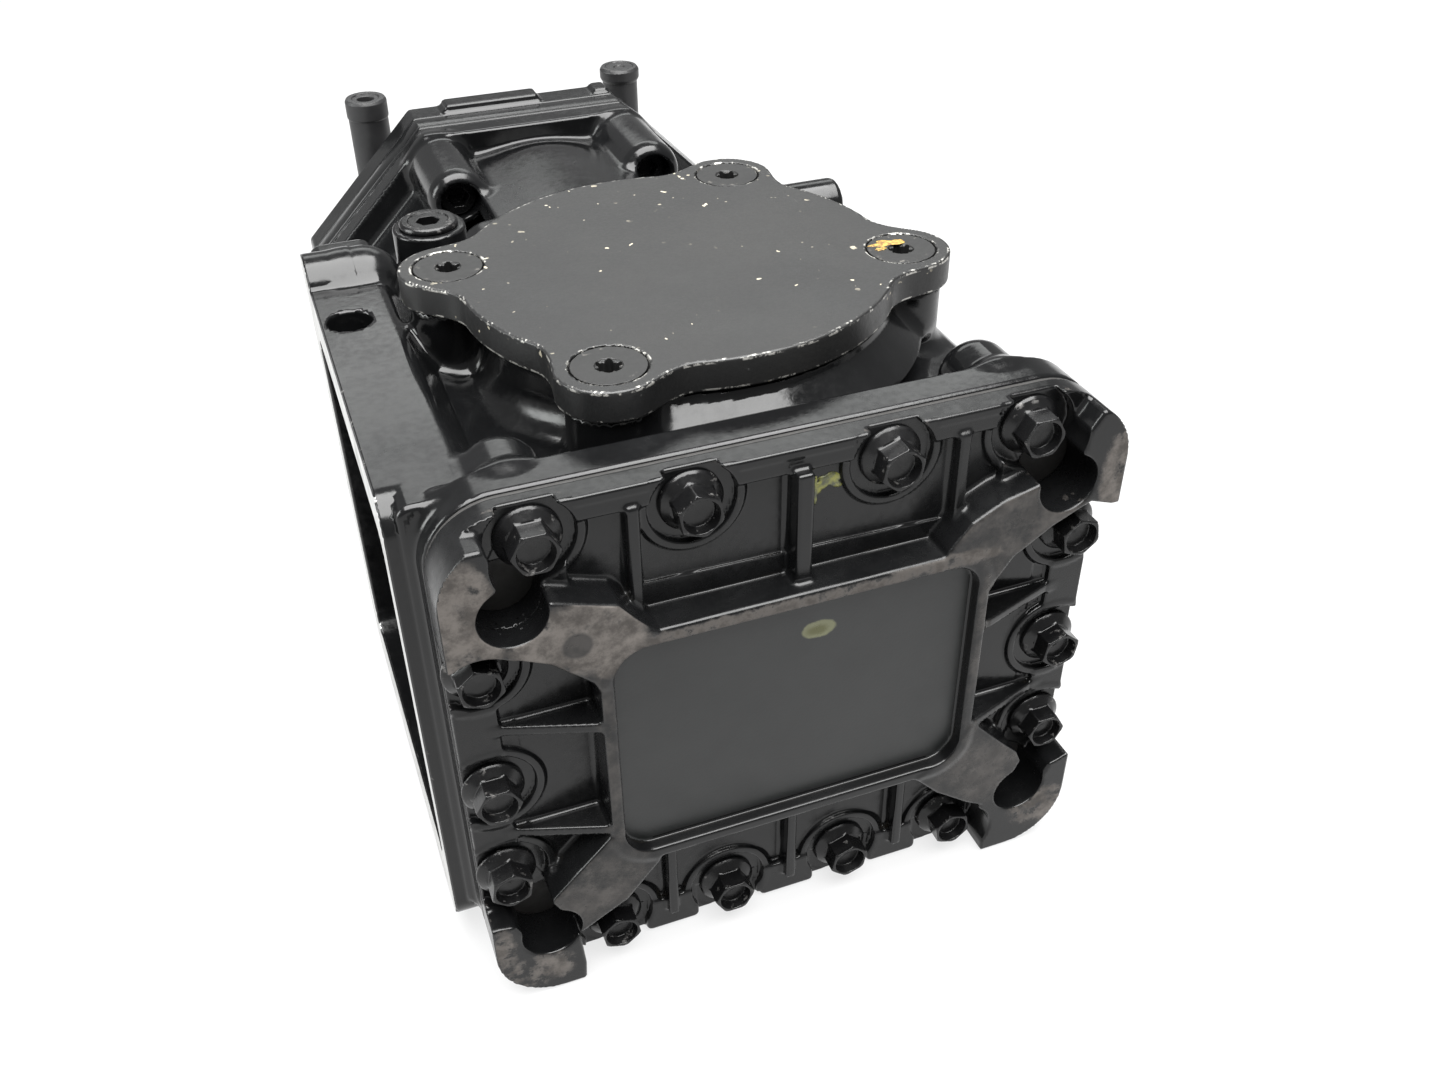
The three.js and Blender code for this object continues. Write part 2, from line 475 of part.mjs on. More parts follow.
// ============================================================ shift gear set
BAY_Y.forEach((yc, i) => {
  const name = ['front', 'rear'][i];
  const clear = yc - 5 - (GEAR_Y[2 * i] + GEAR_W) - SLEEVE_TRAVEL;      // face to gear at the end of travel
  const mouthR = coneAt(clear) + CONE.gap, floorR = coneAt(clear + 2.4) + CONE.gap;
  let s = turnedY(OUTPUT[0], OUTPUT[1], [[12.5, yc - 2.6], [floorR, yc - 2.6], [mouthR, yc - 5], [20, yc - 5], [20, yc - 2.8],
    [16.8, yc - 2.8], [16.8, yc + 2.8], [20, yc + 2.8], [20, yc + 5], [mouthR, yc + 5], [floorR, yc + 2.6], [12.5, yc + 2.6],
    [12.5, yc - 2.6]], 24);
  for (let k = 0; k < 6; k++) {
    const a = (k * 60 * Math.PI) / 180;
    s = join(s, solid(new THREE.BoxGeometry(2.9, 5.2, 3.2), new THREE.Matrix4()
      .makeTranslation(OUTPUT[0] + 12.2 * Math.cos(a), yc, OUTPUT[1] + 12.2 * Math.sin(a))
      .multiply(new THREE.Matrix4().makeRotationY(-a))));
  }
  piece(`shift_sleeve_${name}`, s, DARK_STEEL);

  // fork: hub on its rail, arm, and a jaw in the sleeve groove
  const [rx, rz] = RAILS[i];
  const dir = (Math.atan2(rz - OUTPUT[1], rx - OUTPUT[0]) * 180) / Math.PI;
  const jaw = alongY(polygon(sector(...OUTPUT, 17.2, 24.5, dir - 96, dir + 96, 9)), yc - 2.4, yc + 2.4);
  const ux = Math.cos((dir * Math.PI) / 180), uz = Math.sin((dir * Math.PI) / 180);
  const far = Math.hypot(rx - OUTPUT[0], rz - OUTPUT[1]);
  const q = (t, w) => [OUTPUT[0] + ux * t - uz * w, OUTPUT[1] + uz * t + ux * w];
  const arm = alongY(polygon([q(19, -9), q(far, -6.5), q(far, 6.5), q(19, 9)]), yc - 2.4, yc + 2.4);
  const hub = cylY(rx, rz, 8.6, yc - 6.5, yc + 6.5, 12);
  let f = join(jaw, arm, hub);
  f = cut(f, cylY(rx, rz, RAIL_R + 0.25, yc - 10, yc + 10, 12));
  piece(`shift_fork_${name}`, f, DARK_STEEL);

  piece(`shift_rail_${name}`, turnedY(rx, rz, [[0, 5], [4.2, 5], [5, 5.8], [5, 211.5], [3.4, 211.6], [3.4, 213], [5, 213.1], [5, 215.2], [0, 215.2]], 12), STEEL);
});

export default root;
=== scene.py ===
import json
import math

import bpy
import numpy as np
from mathutils import Matrix, Vector
from mathutils.geometry import tessellate_polygon

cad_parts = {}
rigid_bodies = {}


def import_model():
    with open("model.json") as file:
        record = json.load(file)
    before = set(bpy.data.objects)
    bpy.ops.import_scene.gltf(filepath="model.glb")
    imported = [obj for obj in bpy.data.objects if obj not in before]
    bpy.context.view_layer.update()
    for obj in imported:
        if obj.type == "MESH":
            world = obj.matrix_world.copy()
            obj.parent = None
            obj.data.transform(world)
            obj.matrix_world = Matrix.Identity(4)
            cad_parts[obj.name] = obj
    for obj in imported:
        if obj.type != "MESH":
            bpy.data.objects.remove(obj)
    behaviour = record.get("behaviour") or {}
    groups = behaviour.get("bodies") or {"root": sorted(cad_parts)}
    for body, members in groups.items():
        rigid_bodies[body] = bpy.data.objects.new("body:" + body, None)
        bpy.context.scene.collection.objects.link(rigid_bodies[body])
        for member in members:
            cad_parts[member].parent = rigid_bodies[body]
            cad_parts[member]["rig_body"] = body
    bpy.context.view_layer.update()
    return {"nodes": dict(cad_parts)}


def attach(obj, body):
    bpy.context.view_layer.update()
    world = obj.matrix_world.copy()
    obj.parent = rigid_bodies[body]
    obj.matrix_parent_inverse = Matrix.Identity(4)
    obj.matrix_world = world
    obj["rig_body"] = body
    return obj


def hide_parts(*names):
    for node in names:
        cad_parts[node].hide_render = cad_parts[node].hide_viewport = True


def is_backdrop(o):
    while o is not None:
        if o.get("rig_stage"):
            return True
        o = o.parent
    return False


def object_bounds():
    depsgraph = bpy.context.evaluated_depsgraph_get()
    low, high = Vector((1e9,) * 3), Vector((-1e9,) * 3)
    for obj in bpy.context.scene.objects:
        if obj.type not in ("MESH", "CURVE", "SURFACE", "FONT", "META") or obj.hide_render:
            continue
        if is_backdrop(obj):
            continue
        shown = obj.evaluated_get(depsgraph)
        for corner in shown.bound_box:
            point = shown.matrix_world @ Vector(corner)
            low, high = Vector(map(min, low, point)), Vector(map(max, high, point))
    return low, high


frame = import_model()
NODES = frame["nodes"]
BODY = {n: o["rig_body"] for n, o in NODES.items()}

# drawing frame in millimetres: x right, y from the end-cover joint rearwards, z = 0 on the
# top edge of the joint. One offset takes it to the row's frame.
OFF = np.array([1.8, -111.15, 119.5])
F = np.float32

# ------------------------------------------------------------------ dimensions
TOWER = (1.1, 61.5)
TOP_Z, TOP_T, TOP_R = 8.2, 6.5, 46.4
LOBE_R = 10.5
LOBES = [(TOWER[0] + 48 * math.cos(math.radians(a)), TOWER[1] + 48 * math.sin(math.radians(a)))
         for a in (163.3, 56.0, -16.8, -124.4)]
COVER_BOLTS = [
    (-49.4, -7.1), (-19.7, -7.1), (19.7, -7.1), (49.4, -7.1),
    (61.8, -33.6), (61.8, -63.9), (61.8, -88),
    (40.2, -111.5), (13.9, -111.5), (-13.9, -111.5), (-40.2, -111.5),
    (-61.8, -88), (-61.8, -63.9), (-61.8, -33.6)]
CORNER_HOLES = [(-55, -17.5), (55, -17.5), (55.3, -101.7), (-55.3, -101.7)]
INPUT, OUTPUT = (18, -46), (-18, -71.3)
RAILS = [(-52, -50), (-30, -24)]
BELL_BOLTS = [(-27, -11.5), (27, -11.5), (-27, -107), (27, -107)]


def octagon(inset=0.0, bottom=-119.5):
    k = inset * 0.4142
    return [(-30 + k, -3 - inset), (-64.7 + inset, -37.7 - k), (-64.7 + inset, bottom + 34.7 + k), (-30 + k, bottom + inset),
            (30 - k, bottom + inset), (64.7 - inset, bottom + 34.7 + k), (64.7 - inset, -37.7 - k), (30 - k, -3 - inset)]


# ------------------------------------------------------ distance-field modelling
def ln(*a):
    s = a[0] * a[0]
    for v in a[1:]:
        s = s + v * v
    return np.sqrt(s)


class Solid:
    """A distance function with the box it lives in."""

    def __init__(self, f, lo, hi):
        self.f, self.lo, self.hi = f, np.array(lo, float), np.array(hi, float)


def rrect(u0, v0, u1, v1, r):
    cu, cv, hu, hv = (u0 + u1) / 2, (v0 + v1) / 2, (u1 - u0) / 2, (v1 - v0) / 2

    def f(u, v):
        a, b = np.abs(u - cu) - (hu - r), np.abs(v - cv) - (hv - r)
        return np.minimum(np.maximum(a, b), 0) + ln(np.maximum(a, 0), np.maximum(b, 0)) - r
    return f, (u0, v0, u1, v1)


def circ(cu, cv, r):
    return (lambda u, v: ln(u - cu, v - cv) - r), (cu - r, cv - r, cu + r, cv + r)


def signed_poly(pts):
    pts = [(float(a), float(b)) for a, b in pts]

    def f(u, v):
        n = len(pts)
        d = (u - pts[0][0]) ** 2 + (v - pts[0][1]) ** 2
        s = np.ones_like(d)
        for i in range(n):
            a, b = pts[i], pts[i - 1]
            ex_, ey = b[0] - a[0], b[1] - a[1]
            wx, wy = u - a[0], v - a[1]
            t = np.clip((wx * ex_ + wy * ey) / (ex_ * ex_ + ey * ey), 0, 1)
            d = np.minimum(d, (wx - ex_ * t) ** 2 + (wy - ey * t) ** 2)
            c1, c2, c3 = v >= a[1], v < b[1], ex_ * wy > ey * wx
            flip = (c1 & c2 & c3) | (~c1 & ~c2 & ~c3)
            s = np.where(flip, -s, s)
        return s * np.sqrt(d)
    return f


def offset_poly(pts, d):
    """The outline moved inwards by d, corners kept sharp. Works for either direction of travel."""
    n = len(pts)
    area = sum(pts[i - 1][0] * pts[i][1] - pts[i][0] * pts[i - 1][1] for i in range(n))
    s = 1 if area > 0 else -1
    out = []
    for i in range(n):
        p0, p1, p2 = np.array(pts[i - 1], float), np.array(pts[i], float), np.array(pts[(i + 1) % n], float)
        e1, e2 = (p1 - p0) / np.hypot(*(p1 - p0)), (p2 - p1) / np.hypot(*(p2 - p1))
        n1, n2 = s * np.array([-e1[1], e1[0]]), s * np.array([-e2[1], e2[0]])
        m = n1 + n2
        m = m / max(0.35, (m @ n1))
        out.append(tuple(p1 + m * d))
    return out


def poly(pts, r=0.0):
    f = signed_poly(offset_poly(pts, r) if r else pts)
    a = np.array(pts, float)
    box = (*a.min(0), *a.max(0))
    return (lambda u, v: f(u, v) - r), box


def slot2(u0, v0, u1, v1, r):
    """A stadium between two points."""
    du, dv = u1 - u0, v1 - v0

    def f(u, v):
        t = np.clip(((u - u0) * du + (v - v0) * dv) / (du * du + dv * dv), 0, 1)
        return ln(u - u0 - du * t, v - v0 - dv * t) - r
    return f, (min(u0, u1) - r, min(v0, v1) - r, max(u0, u1) + r, max(v0, v1) + r)


AX = {"x": (1, 2, 0), "y": (0, 2, 1), "z": (0, 1, 2)}


def ex(axis, shape, w0, w1, r=0.0):
    """A flat shape carried along an axis from w0 to w1, its edges rounded by r."""
    f2, (u0, v0, u1, v1) = shape
    iu, iv, iw = AX[axis]
    c, h = (w0 + w1) / 2, (w1 - w0) / 2

    def f(*p):
        a = f2(p[iu], p[iv]) + r
        b = np.abs(p[iw] - c) - (h - r)
        return np.minimum(np.maximum(a, b), 0) + ln(np.maximum(a, 0), np.maximum(b, 0)) - r
    lo, hi = [0, 0, 0], [0, 0, 0]
    lo[iu], lo[iv], lo[iw], hi[iu], hi[iv], hi[iw] = u0, v0, w0, u1, v1, w1
    return Solid(f, lo, hi)


def rev(axis, cu, cv, profile, r=0.0):
    """A profile of (radius, w) turned about an axis; it starts and ends on the axis."""
    iu, iv, iw = AX[axis]
    p = [(a, b) for a, b in profile]
    full = p + [(-a, b) for a, b in reversed(p) if a > 1e-6]
    f2 = signed_poly(offset_poly(full, r) if r else full)
    R = max(a for a, _ in p)
    w0, w1 = min(b for _, b in p), max(b for _, b in p)

    def f(*q):
        return f2(ln(q[iu] - cu, q[iv] - cv), q[iw]) - r
    lo, hi = [0, 0, 0], [0, 0, 0]
    lo[iu], lo[iv], lo[iw], hi[iu], hi[iv], hi[iw] = cu - R, cv - R, w0, cu + R, cv + R, w1
    return Solid(f, lo, hi)


def capsule(a, b, r, squash=(1, 1, 1)):
    a, b = np.array(a, float), np.array(b, float)
    q = np.array(squash, float)

    def f(x, y, z):
        d = (b - a) / q
        wx, wy, wz = (x - a[0]) / q[0], (y - a[1]) / q[1], (z - a[2]) / q[2]
        t = np.clip((wx * d[0] + wy * d[1] + wz * d[2]) / max(1e-9, d @ d), 0, 1)
        return (ln(wx - d[0] * t, wy - d[1] * t, wz - d[2] * t) - r) * min(squash)
    rr = r * q
    return Solid(f, np.minimum(a, b) - rr, np.maximum(a, b) + rr)


def comb(kind, a, b, k):
    if kind == "-":
        b = -b
        if k <= 0:
            return np.maximum(a, b)
        return np.minimum(-k, np.maximum(a, b)) + ln(np.maximum(k + a, 0), np.maximum(k + b, 0))
    if kind == "&":
        return np.maximum(a, b)
    if k <= 0:
        return np.minimum(a, b)
    return np.maximum(k, np.minimum(a, b)) - ln(np.maximum(k - a, 0), np.maximum(k - b, 0))


def fill_grid(ops, xs, ys, zs, pad):
    g = np.full((len(xs), len(ys), len(zs)), 30.0, F)
    for kind, s, k in ops:
        if kind == "&":
            sl = (slice(None),) * 3
        else:
            m = pad + k
            sl = tuple(slice(np.searchsorted(c, s.lo[i] - m), np.searchsorted(c, s.hi[i] + m)) for i, c in enumerate((xs, ys, zs)))
            if any(q.start >= q.stop for q in sl):
                continue
        X, Y, Z = xs[sl[0]][:, None, None], ys[sl[1]][None, :, None], zs[sl[2]][None, None, :]
        d = np.broadcast_to(s.f(X, Y, Z), g[sl].shape).astype(F)
        g[sl] = comb(kind, g[sl], d, k)
    return g


def field(ops, p):
    """The same field at loose points."""
    out = np.full(len(p), 30.0)
    for kind, s, k in ops:
        m = 4 + k
        if kind == "&":
            i = np.arange(len(p))
        else:
            i = np.nonzero(np.all((p > s.lo - m) & (p < s.hi + m), axis=1))[0]
        if not len(i):
            continue
        q = p[i]
        out[i] = comb(kind, out[i], s.f(q[:, 0], q[:, 1], q[:, 2]), k)
    return out


def gradient(ops, p, e):
    g = np.zeros_like(p)
    for s in ((1, 1, 1), (1, -1, -1), (-1, 1, -1), (-1, -1, 1)):
        s = np.array(s, float)
        g += s * field(ops, p + s * e)[:, None]
    g /= 4 * e
    return g


def surface(ops, xs, ys, zs, refine=2, eps=0.06):
    """Surface nets on a rectilinear grid, moved onto the field's zero, with its gradient as normals."""
    xs, ys, zs = (np.asarray(c, float) for c in (xs, ys, zs))
    step = max(np.diff(xs).max(), np.diff(ys).max(), np.diff(zs).max())
    g = fill_grid(ops, xs, ys, zs, 3 * step)
    shape = np.array(g.shape)
    inside = g < 0
    C = (xs, ys, zs)
    ids, pts, quads = [], [], []
    strides = np.array([shape[1] * shape[2], shape[2], 1])
    for a in range(3):
        b, c = (a + 1) % 3, (a + 2) % 3
        lo = [slice(None)] * 3
        hi = [slice(None)] * 3
        lo[a], hi[a] = slice(0, -1), slice(1, None)
        v0, v1 = g[tuple(lo)], g[tuple(hi)]
        i0 = inside[tuple(lo)]
        idx = np.array(np.nonzero(i0 != inside[tuple(hi)])).T
        keep = (idx[:, b] > 0) & (idx[:, c] > 0) & (idx[:, b] < shape[b] - 1) & (idx[:, c] < shape[c] - 1)
        idx = idx[keep]
        t0, t1 = v0[tuple(idx.T)], v1[tuple(idx.T)]
        t = t0 / (t0 - t1)
        p = np.stack([C[i][idx[:, i]] for i in range(3)], 1)
        p[:, a] += t * (C[a][idx[:, a] + 1] - C[a][idx[:, a]])
        base = idx @ strides
        sb, sc = strides[b], strides[c]
        four = np.stack([base - sb - sc, base - sc, base, base - sb], 1)
        outward = i0[tuple(idx.T)]
        four[~outward] = four[~outward][:, ::-1]
        quads.append(four)
        ids.append(four.ravel())
        pts.append(np.repeat(p, 4, axis=0))
    quads, ids, pts = np.concatenate(quads), np.concatenate(ids), np.concatenate(pts)
    uniq, inv = np.unique(ids, return_inverse=True)
    inv = inv.ravel()
    cnt = np.bincount(inv, minlength=len(uniq))
    v = np.stack([np.bincount(inv, weights=pts[:, i], minlength=len(uniq)) / cnt for i in range(3)], 1)
    # quads hold ids in the same order as ravel
    q = inv.reshape(-1, 4)
    for _ in range(refine):
        n = gradient(ops, v, eps)
        l = np.maximum((n * n).sum(1), 0.25)
        move = n * (field(ops, v) / l)[:, None]
        v = v - np.clip(move, -0.6 * step, 0.6 * step)
    n = gradient(ops, v, eps)
    n /= np.maximum(np.linalg.norm(n, axis=1), 1e-6)[:, None]
    return v, q, n


def make_mesh(name, v, faces, normals=None, attrs=None, mats=None):
    """v in the drawing frame in mm."""
    me = bpy.data.meshes.new(name)
    # nothing sticks out of the casting's overall block
    w = np.clip(np.asarray(v, float) + OFF, (-70.69, -123.14, 0.0), (70.69, 123.04, 127.69)) * 0.001
    if isinstance(faces, np.ndarray):
        k = faces.shape[1]
        me.vertices.add(len(w))
        me.vertices.foreach_set("co", w.astype(F).ravel())
        me.loops.add(len(faces) * k)
        me.loops.foreach_set("vertex_index", faces.astype(np.int32).ravel())
        me.polygons.add(len(faces))
        me.polygons.foreach_set("loop_start", np.arange(0, len(faces) * k, k, dtype=np.int32))
        me.polygons.foreach_set("loop_total", np.full(len(faces), k, dtype=np.int32))
    else:
        me.from_pydata([tuple(a) for a in w], [], faces)
    me.update(calc_edges=True)
    me.validate()
    me.polygons.foreach_set("use_smooth", np.ones(len(me.polygons), bool))
    for key, val in (attrs or {}).items():
        at_ = me.attributes.new(key, "FLOAT", "POINT")
        at_.data.foreach_set("value", np.asarray(val, F))
    if normals is not None and len(me.vertices) == len(w):
        me.normals_split_custom_set_from_vertices([tuple(a) for a in normals])
    o = bpy.data.objects.new(name, me)
    bpy.context.scene.collection.objects.link(o)
    for m in mats or []:
        me.materials.append(m)
    return o


def axis_grid(*parts):
    """axis_grid(a, b, h, c, h2...): points from a to b by h, on to c by h2, and so on."""
    q = 1.0
    out = [parts[0]]
    i = 1
    while i < len(parts):
        end, h = parts[i], parts[i + 1] * q
        n = max(1, int(round((end - out[-1]) / h)))
        out += list(np.linspace(out[-1], end, n + 1)[1:])
        i += 2
    return np.array(out)


def wear(ops, v, n):
    """edge: 1 on sharp outer edges, 0 on flats; cav: 1 in tight inner corners."""
    out_ = field(ops, v - n * 1.1)
    edge = np.clip(1 + out_ / 1.1, 0, 1)
    cav = np.clip(1 - field(ops, v + n * 2.2) / 2.2, 0, 1)
    return {"edge": edge, "cav": cav}


def cast(name, ops, xs, ys, zs, mats, with_wear=True, mat_index=None, eps=0.06):
    v, q, n = surface(ops, xs, ys, zs, eps=eps)
    attrs = wear(ops, v, n) if with_wear else {}
    o = make_mesh(name, v, q, n, attrs, mats)
    if mat_index is not None:
        me = o.data
        c = np.zeros(len(me.polygons) * 3, F)
        me.polygons.foreach_get("center", c)
        me.polygons.foreach_set("material_index", mat_index(c.reshape(-1, 3) * 1000 - OFF).astype(np.int32))
    return o


# ---------------------------------------------------------------- flat plates
def arc_pts(cx, cy, r, a0, a1, n):
    return [(cx + r * math.cos(math.radians(a0 + (a1 - a0) * i / n)), cy + r * math.sin(math.radians(a0 + (a1 - a0) * i / n)))
            for i in range(n + 1)]


def round_corners(pts, r, n=5):
    """The outline with each corner turned into an arc of radius r."""
    out = []
    m = len(pts)
    for i in range(m):
        p0, p1, p2 = (np.array(pts[j % m], float) for j in (i - 1, i, i + 1))
        e1, e2 = (p0 - p1), (p2 - p1)
        l1, l2 = np.hypot(*e1), np.hypot(*e2)
        e1, e2 = e1 / l1, e2 / l2
        half = math.acos(max(-1, min(1, e1 @ e2))) / 2
        t = min(r / math.tan(half), 0.45 * l1, 0.45 * l2)
        rr = t * math.tan(half)
        a, b = p1 + e1 * t, p1 + e2 * t
        c = p1 + (e1 + e2) / np.hypot(*(e1 + e2)) * (rr / math.sin(half))
        a0, a1 = math.atan2(*(a - c)[::-1]), math.atan2(*(b - c)[::-1])
        d = (a1 - a0 + math.pi) % (2 * math.pi) - math.pi
        out += [(c[0] + rr * math.cos(a0 + d * j / n), c[1] + rr * math.sin(a0 + d * j / n)) for j in range(n + 1)]
    return out


def ccw(pts):
    a = sum(pts[i - 1][0] * pts[i][1] - pts[i][0] * pts[i - 1][1] for i in range(len(pts)))
    return list(pts) if a > 0 else list(pts)[::-1]


def plate(outline, holes, w0, w1, axis="y", r=0.5, steps=3):
    """A plate of the outline with holes, its edges rounded by r. Returns vertices and faces."""
    iu, iv, iw = AX[axis]
    loops = [ccw(outline)] + [ccw(h)[::-1] for h in holes]
    prof = [(r * (1 - math.cos(t)), r * (1 - math.sin(t))) for t in np.linspace(0, math.pi / 2, steps + 1)]  # inset, depth from the face
    rings = [(w0 + dz, ins) for ins, dz in reversed([(p[0], p[1]) for p in prof])]
    rings = [(w0 + d, i) for i, d in [(r * (1 - math.sin(t)), r * (1 - math.cos(t))) for t in np.linspace(0, math.pi / 2, steps + 1)]]
    rings += [(w1 - (w - w0), i) for w, i in reversed(rings)]
    V, Fc = [], []
    first, last = [], []
    for li, loop in enumerate(loops):
        n = len(loop)
        start = len(V)
        for w, ins in rings:
            pp = offset_poly(loop, ins if li == 0 else -ins) if ins > 1e-9 else loop
            if li > 0 and ins > 1e-9:
                pp = offset_poly(loop, -ins)
            for a, b in pp:
                q = [0, 0, 0]
                q[iu], q[iv], q[iw] = a, b, w
                V.append(q)
        for k in range(len(rings) - 1):
            for i in range(n):
                j = (i + 1) % n
                Fc.append([start + k * n + i, start + k * n + j, start + (k + 1) * n + j, start + (k + 1) * n + i])
        first.append(list(range(start, start + n)))
        last.append(list(range(start + (len(rings) - 1) * n, start + len(rings) * n)))
    for loops_i, flip in ((first, True), (last, False)):
        flat = [[Vector((V[i][iu], V[i][iv], 0)) for i in lp] for lp in loops_i]
        ids = [i for lp in loops_i for i in lp]
        for t in tessellate_polygon(flat):
            t = [ids[i] for i in t]
            a, b, c = (V[i] for i in t)
            s = (b[iu] - a[iu]) * (c[iv] - a[iv]) - (b[iv] - a[iv]) * (c[iu] - a[iu])
            if abs(s) < 1e-9:
                continue
            up = s > 0
            if axis == "y":      # (x, z) seen along +y is a left-handed pair
                up = not up
            Fc.append(t if up != flip else t[::-1])
    if axis == "y":
        nf = []
        for f_ in Fc:
            nf.append(f_)
        # side quads turn the other way round for this axis
        Fc = [f_[::-1] if len(f_) == 4 else f_ for f_ in nf]
    return V, Fc


def merge(*sets):
    V, Fc = [], []
    for v, f in sets:
        k = len(V)
        V += [list(a) for a in v]
        Fc += [[i + k for i in q] for q in f]
    return V, Fc


def plate_obj(name, sets, mats, angle=35):
    v, f = merge(*sets)
    o = make_mesh(name, np.array(v), f, mats=mats)
    sharp_by_angle(o, angle)
    return o


def sharp_by_angle(o, angle):
    """Marks edges sharper than the angle, so that flats stay flat under smooth shading."""
    me = o.data
    me.polygons.foreach_set("use_smooth", np.ones(len(me.polygons), bool))
    me.set_sharp_from_angle(angle=math.radians(angle))


def lathe(axis, cu, cv, profile, n=64):
    """A profile of (radius, w) turned about an axis, closed on the axis or on itself."""
    iu, iv, iw = AX[axis]
    V, Fc, rows = [], [], []
    for r_, w in profile:
        row = []
        for i in range(1 if r_ < 1e-6 else n):
            a = 2 * math.pi * i / n
            q = [0, 0, 0]
            q[iu], q[iv], q[iw] = cu + r_ * math.cos(a), cv + r_ * math.sin(a), w
            row.append(len(V))
            V.append(q)
        rows.append(row)
    closed = profile[0] == profile[-1] and profile[0][0] > 1e-6
    if closed:
        rows[-1] = rows[0]
    for a, b in zip(rows, rows[1:]):
        for i in range(n):
            j = (i + 1) % n
            q = [a[i % len(a)], a[j % len(a)], b[j % len(b)], b[i % len(b)]]
            q = [k for m, k in enumerate(q) if k not in q[:m]]
            if len(q) > 2:
                Fc.append(q)
    return V, Fc


# ------------------------------------------------------------------ materials
def new_mat(name):
    m = bpy.data.materials.new(name)
    m.use_nodes = True
    nt = m.node_tree
    bsdf = nt.nodes["Principled BSDF"]
    return m, nt, bsdf


class Graph:
    """Short calls for building a node tree."""

    def __init__(self, nt):
        self.nt = nt
        self.coord = nt.nodes.new("ShaderNodeTexCoord").outputs["Object"]

    def noise(self, scale, detail=3.0, rough=0.5, dist=0.0, vec=None):
        n = self.nt.nodes.new("ShaderNodeTexNoise")
        n.inputs["Scale"].default_value = scale
        n.inputs["Detail"].default_value = detail
        n.inputs["Roughness"].default_value = rough
        n.inputs["Distortion"].default_value = dist
        self.nt.links.new(vec or self.coord, n.inputs["Vector"])
        return n.outputs["Fac"]

    def stretch(self, sx, sy, sz, offset=(0, 0, 0)):
        n = self.nt.nodes.new("ShaderNodeMapping")
        n.inputs["Scale"].default_value = (sx, sy, sz)
        n.inputs["Location"].default_value = offset
        self.nt.links.new(self.coord, n.inputs["Vector"])
        return n.outputs["Vector"]

    def attr(self, name):
        n = self.nt.nodes.new("ShaderNodeAttribute")
        n.attribute_name = name
        return n.outputs["Fac"]

    def ramp(self, val, lo, hi, out0=0.0, out1=1.0, smooth=True):
        n = self.nt.nodes.new("ShaderNodeMapRange")
        if smooth:
            n.interpolation_type = "SMOOTHSTEP"
        n.clamp = True
        for k, x in zip(("From Min", "From Max", "To Min", "To Max"), (lo, hi, out0, out1)):
            n.inputs[k].default_value = x
        self.nt.links.new(val, n.inputs["Value"])
        return n.outputs["Result"]

    def math(self, op, a, b=None, c=None):
        n = self.nt.nodes.new("ShaderNodeMath")
        n.operation = op
        for i, x in enumerate((a, b, c)):
            if x is None:
                continue
            if isinstance(x, (int, float)):
                n.inputs[i].default_value = x
            else:
                self.nt.links.new(x, n.inputs[i])
        return n.outputs[0]

    def mix(self, fac, a, b):
        n = self.nt.nodes.new("ShaderNodeMix")
        n.data_type = "RGBA"
        self.nt.links.new(fac, n.inputs[0])
        for i, x in ((6, a), (7, b)):
            if isinstance(x, tuple):
                n.inputs[i].default_value = (*x, 1)
            else:
                self.nt.links.new(x, n.inputs[i])
        return n.outputs[2]

    def bump(self, height, distance, strength=1.0, after=None):
        n = self.nt.nodes.new("ShaderNodeBump")
        n.inputs["Distance"].default_value = distance
        n.inputs["Strength"].default_value = strength
        self.nt.links.new(height, n.inputs["Height"])
        if after is not None:
            self.nt.links.new(after, n.inputs["Normal"])
        return n.outputs["Normal"]

    def near(self, centre, radius, soft, scale=(1, 1, 1), wobble=None):
        """1 inside an ellipsoid given in the drawing frame in mm, fading out over soft mm."""
        c = (np.array(centre, float) + OFF) * 0.001
        n = self.nt.nodes.new("ShaderNodeVectorMath")
        n.operation = "SUBTRACT"
        self.nt.links.new(self.coord, n.inputs[0])
        n.inputs[1].default_value = tuple(c)
        m = self.nt.nodes.new("ShaderNodeVectorMath")
        m.operation = "MULTIPLY"
        self.nt.links.new(n.outputs[0], m.inputs[0])
        m.inputs[1].default_value = tuple(1000.0 / s for s in scale)
        d = self.nt.nodes.new("ShaderNodeVectorMath")
        d.operation = "LENGTH"
        self.nt.links.new(m.outputs[0], d.inputs[0])
        v = d.outputs["Value"]
        if wobble is not None:
            v = self.math("ADD", v, wobble)
        return self.ramp(v, radius + soft, radius - soft)

    def link(self, a, b):
        self.nt.links.new(a, b)


